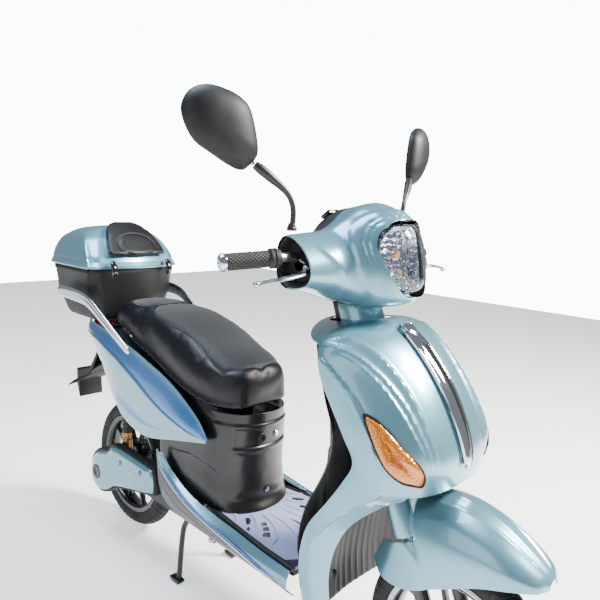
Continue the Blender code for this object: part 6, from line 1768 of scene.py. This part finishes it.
def coverRing(y, grow, inset=0.0):
    middle = Vector((swingCover["middle"][0], 0, swingCover["middle"][1]))
    line = closedSpline([Vector((x, 0, z)) for x, z in swingCover["outline"]], 5)
    result = []
    for n, p in enumerate(line):
        run = (line[(n + 1) % len(line)] - line[n - 1]).normalized()
        inward = Vector((run.z, 0, -run.x))
        inward = inward if inward.dot(middle - p) > 0 else -inward
        result.append(middle + (p - middle) * grow + inward * inset + Vector((0, y, 0)))
    return result


addPiece("drive_cover_shell", pillow([coverRing(y, g, i) for y, g, i in (
    (-0.1185, 1.0, 0.0), (-0.133, 1.0, 0.0), (-0.137, 1.0, 0.0015), (-0.1385, 1.0, 0.004), (-0.137, 1.0, 0.0075))]),
    [matBlack], "swingarm", ["swing_cover"], edge=0, sharp=50)
addPiece("drive_cover_face", pillow([coverRing(y, g, i) for y, g, i in (
    (-0.136, 0.98, 0.008), (-0.142, 0.975, 0.0085), (-0.1465, 0.95, 0.0095), (-0.149, 0.9, 0.01),
    (-0.15, 0.8, 0.01), (-0.1503, 0.5, 0.0))]), [iceLacquer], "swingarm", edge=0, sharp=60)
for number, (x, z) in enumerate(((0.15, 0.3), (0.262, 0.306))):
    cup = [(0.0, -0.001), (0.0052, -0.0006), (0.0068, 0.0016), (0.008, 0.001), (0.008, -0.004), (0, -0.004)]
    addPiece(f"cover_recess_{number + 1}", turned(cup, (x, -0.15, z), (0, -1, 0), 32), [pianoBlack], "swingarm",
             edge=0)
disc = [(0, 0.0016), (0.01, 0.0016), (0.0125, 0.0028), (0.0215, 0.003), (0.024, 0.0012), (0.0245, -0.01), (0, -0.01)]
addPiece("axle_disc", turned(disc, (0.0, -0.149, 0.2215), (0, -1, 0), 48), [satinBlack], "swingarm",
         edge=0)
settle(repeated("cover_screws", screwHead(0.004, 0.002),
                [((0.15, -0.1502, 0.3), (0, -1, 0), (1, 0, 0)), ((0.262, -0.1502, 0.306), (0, -1, 0), (1, 0, 0))],
                zincPlate), "swingarm")

# Shock feet: bronze cups with a collar
for side, name in sides:
    cup = [(0, 0), (0.015, 0), (0.0165, 0.0015), (0.0165, 0.02), (0.015, 0.022), (0.015, 0.03), (0.0165, 0.032),
           (0.0165, 0.092), (0.0148, 0.094), (0.0148, 0.1), (0.0165, 0.102), (0.0165, 0.1145), (0.016, 0.115),
           (0.014, 0.115), (0.014, 0.018), (0, 0.018)]
    addPiece(f"shock_cup_{name}", turned(cup, (0.107, side * 0.1, 0.2625), (0, 0, 1), 40), [bronze], "swingarm",
             [f"shock_foot_{name}"], 0)

    # Pleated rubber boot
    boot, pleats = [(0.0075, 0.3785), (0.015, 0.3785)], 12
    for n in range(pleats):
        z = 0.38 + 0.177 * n / pleats
        step = 0.177 / pleats
        boot += [(0.0146, z + step * 0.08), (0.0164, z + step * 0.36), (0.0164, z + step * 0.6), (0.0146,
                z + step * 0.88)]
    boot += [(0.015, 0.559), (0.0075, 0.559)]
    bellows = addPiece(f"shock_bellows_{name}", turned(boot, (0.107, side * 0.1, 0), (0, 0, 1), 40, True),
            [gripRubber],
                      "chassis", [f"shock_boot_{name}"], 0)
    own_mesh(bellows)

# Centre stand: bent legs, eyes, bridge tube, shoes with rubber soles
stand = {"leg": 0.1005, "radius": 0.008}
legShapes = [rod((0.438, -0.103, 0.307), (0.438, 0.103, 0.307), 0.006, 32)]
soleShapes = []
for side, name in sides:
    y = side * stand["leg"]
    legShapes.append(tube(spline([(0.447, y, 0.268), (0.442, y, 0.222), (0.414, y, 0.168), (0.396, y, 0.006)], 8),
                          stand["radius"], 24))
    eye = [(0.0084, -0.006), (0.014, -0.006), (0.014, 0.006), (0.0084, 0.006)]
    legShapes.append(turned(eye, (0.448, y, 0.279), (0, 1, 0), 40, True))
    lug = [(0.444, 0.289), (0.444, 0.306), (0.433, 0.306), (0.433, 0.285)]
    legShapes.append(loft([[(x, y - 0.005, z) for x, z in lug], [(x, y + 0.005, z) for x, z in lug]]))
    foot = side * 0.1025
    shoe = [(0.366, 0.0125), (0.37, 0.005), (0.378, 0.003), (0.404, 0.003), (0.4115, 0.006), (0.412, 0.011),
            (0.406, 0.014), (0.374, 0.014)]
    legShapes.append(loft([[(x, foot - 0.0113, z) for x, z in shoe], [(x, foot + 0.0113, z) for x, z in shoe]]))
    sole = [(0.376, 0.0), (0.406, 0.0), (0.408, 0.004), (0.374, 0.004)]
    soleShapes.append(loft([[(x, foot - 0.01, z) for x, z in sole], [(x, foot + 0.01, z) for x, z in sole]]))
addPiece("stand_legs", merged(legShapes), [powderSteel], "stand", ["centre_stand"], 0.0008)
addPiece("stand_soles", merged(soleShapes), [gripRubber], "stand", edge=0.0006)
print("running gear ready")

# Finishes on the CAD solids that stay as they are
for look, names in (
        (powderSteel, ("swingarm", "head_tube", "floor_frame", "rear_frame")), (batteryShell, ("battery_pack",)),
        (matBlack, ("floor_tray",)), (buffed, ("fork_upper", "handlebar")), (wheelEnamel, ("fork_lowers",))):
    for name in names:
        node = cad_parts[name]
        if not node.material_slots:
            node.data.materials.append(look)
        for slot in node.material_slots:
            slot.material = look

# Studio: pale sweep, broad key from ahead and left, cool fill from above and a weak one from the right
camera = {"place": (1.227, -1.08, 1.113), "azimuth": 43.82, "elevation": 8.87, "roll": 2.53, "focal": 37.07}


def placeCamera(s):
    az, el, roll = (math.radians(s[key]) for key in ("azimuth", "elevation", "roll"))
    back = Vector((math.sin(az) * math.cos(el), -math.cos(az) * math.cos(el), math.sin(el)))
    right = (-back).cross(Vector((0, 0, 1))).normalized()
    rise = back.cross(right).normalized()
    across = right * math.cos(roll) + rise * math.sin(roll)
    above = rise * math.cos(roll) - right * math.sin(roll)
    data = bpy.data.cameras.new("studioCamera")
    data.lens = s["focal"]
    data.sensor_width = 36.0
    data.clip_start = 0.02
    item = bpy.data.objects.new("studioCamera", data)
    bpy.context.scene.collection.objects.link(item)
    item.matrix_world = Matrix((across, above, back)).transposed().to_4x4()
    item.matrix_world.translation = Vector(s["place"])
    bpy.context.scene.camera = item


placeCamera(camera)

lights = {
    "key": {"place": (2.1, 1.7, 2.9), "aim": (0.2, 0.0, 0.6), "size": 0.9, "power": 560.0, "colour": "#fffaf2"},
    "top": {"place": (-0.4, -0.6, 3.2), "aim": (0.0, 0.0, 0.5), "size": 1.6, "power": 120.0, "colour": "#dcebff"},
    "fill": {"place": (0.3, -3.2, 1.6), "aim": (0.0, 0.0, 0.5), "size": 2.0, "power": 26.0, "colour": "#ffffff"},
}
for name, s in lights.items():
    data = bpy.data.lights.new(name, "AREA")
    data.size = s["size"]
    data.energy = s["power"]
    data.color = linear(s["colour"])[:3]
    lamp = bpy.data.objects.new(name, data)
    lamp.location = s["place"]
    lamp.rotation_euler = (Vector(s["aim"]) - Vector(s["place"])).to_track_quat("-Z", "Y").to_euler()
    bpy.context.scene.collection.objects.link(lamp)

world = bpy.data.worlds.new("studio")
world.use_nodes = True
worldTree = world.node_tree
backdrop = worldTree.nodes["Background"]
rayHeight = addNode(worldTree, "SeparateXYZ", {"Vector": addNode(worldTree, "TexCoord").outputs["Generated"]})
climb = addNode(worldTree, "MapRange", {"Value": rayHeight.outputs["Z"], "From Min": -0.3, "From Max": 0.9})
sky = addNode(worldTree, "Mix", {"Factor": climb.outputs["Result"], "A": linear("#f1f0ea"), "B": linear("#d5e5f5")},
              data_type="RGBA")
worldTree.links.new(sky.outputs["Result"], backdrop.inputs["Color"])
backdrop.inputs["Strength"].default_value = 0.95
# The paper wall behind is lit far brighter than the object, as in any product studio
seen = addNode(worldTree, "LightPath").outputs["Is Camera Ray"]
glow = addNode(worldTree, "MapRange", {"Value": seen, "To Min": 0.36, "To Max": 14.0})
worldTree.links.new(glow.outputs["Result"], backdrop.inputs["Strength"])
bpy.context.scene.world = world

sweep = newMaterial("backlit studio paper", Base_Color="#f4f4f3", Roughness=0.9, Emission_Color="#fffefc",
                    Emission_Strength=0.9)[0]
paper = newObject("studio_floor", ([(-6, -6, -0.0005), (7, -6, -0.0005), (7, 6, -0.0005), (-6, 6, -0.0005)],
                                   [(0, 1, 2, 3)]), [sweep])
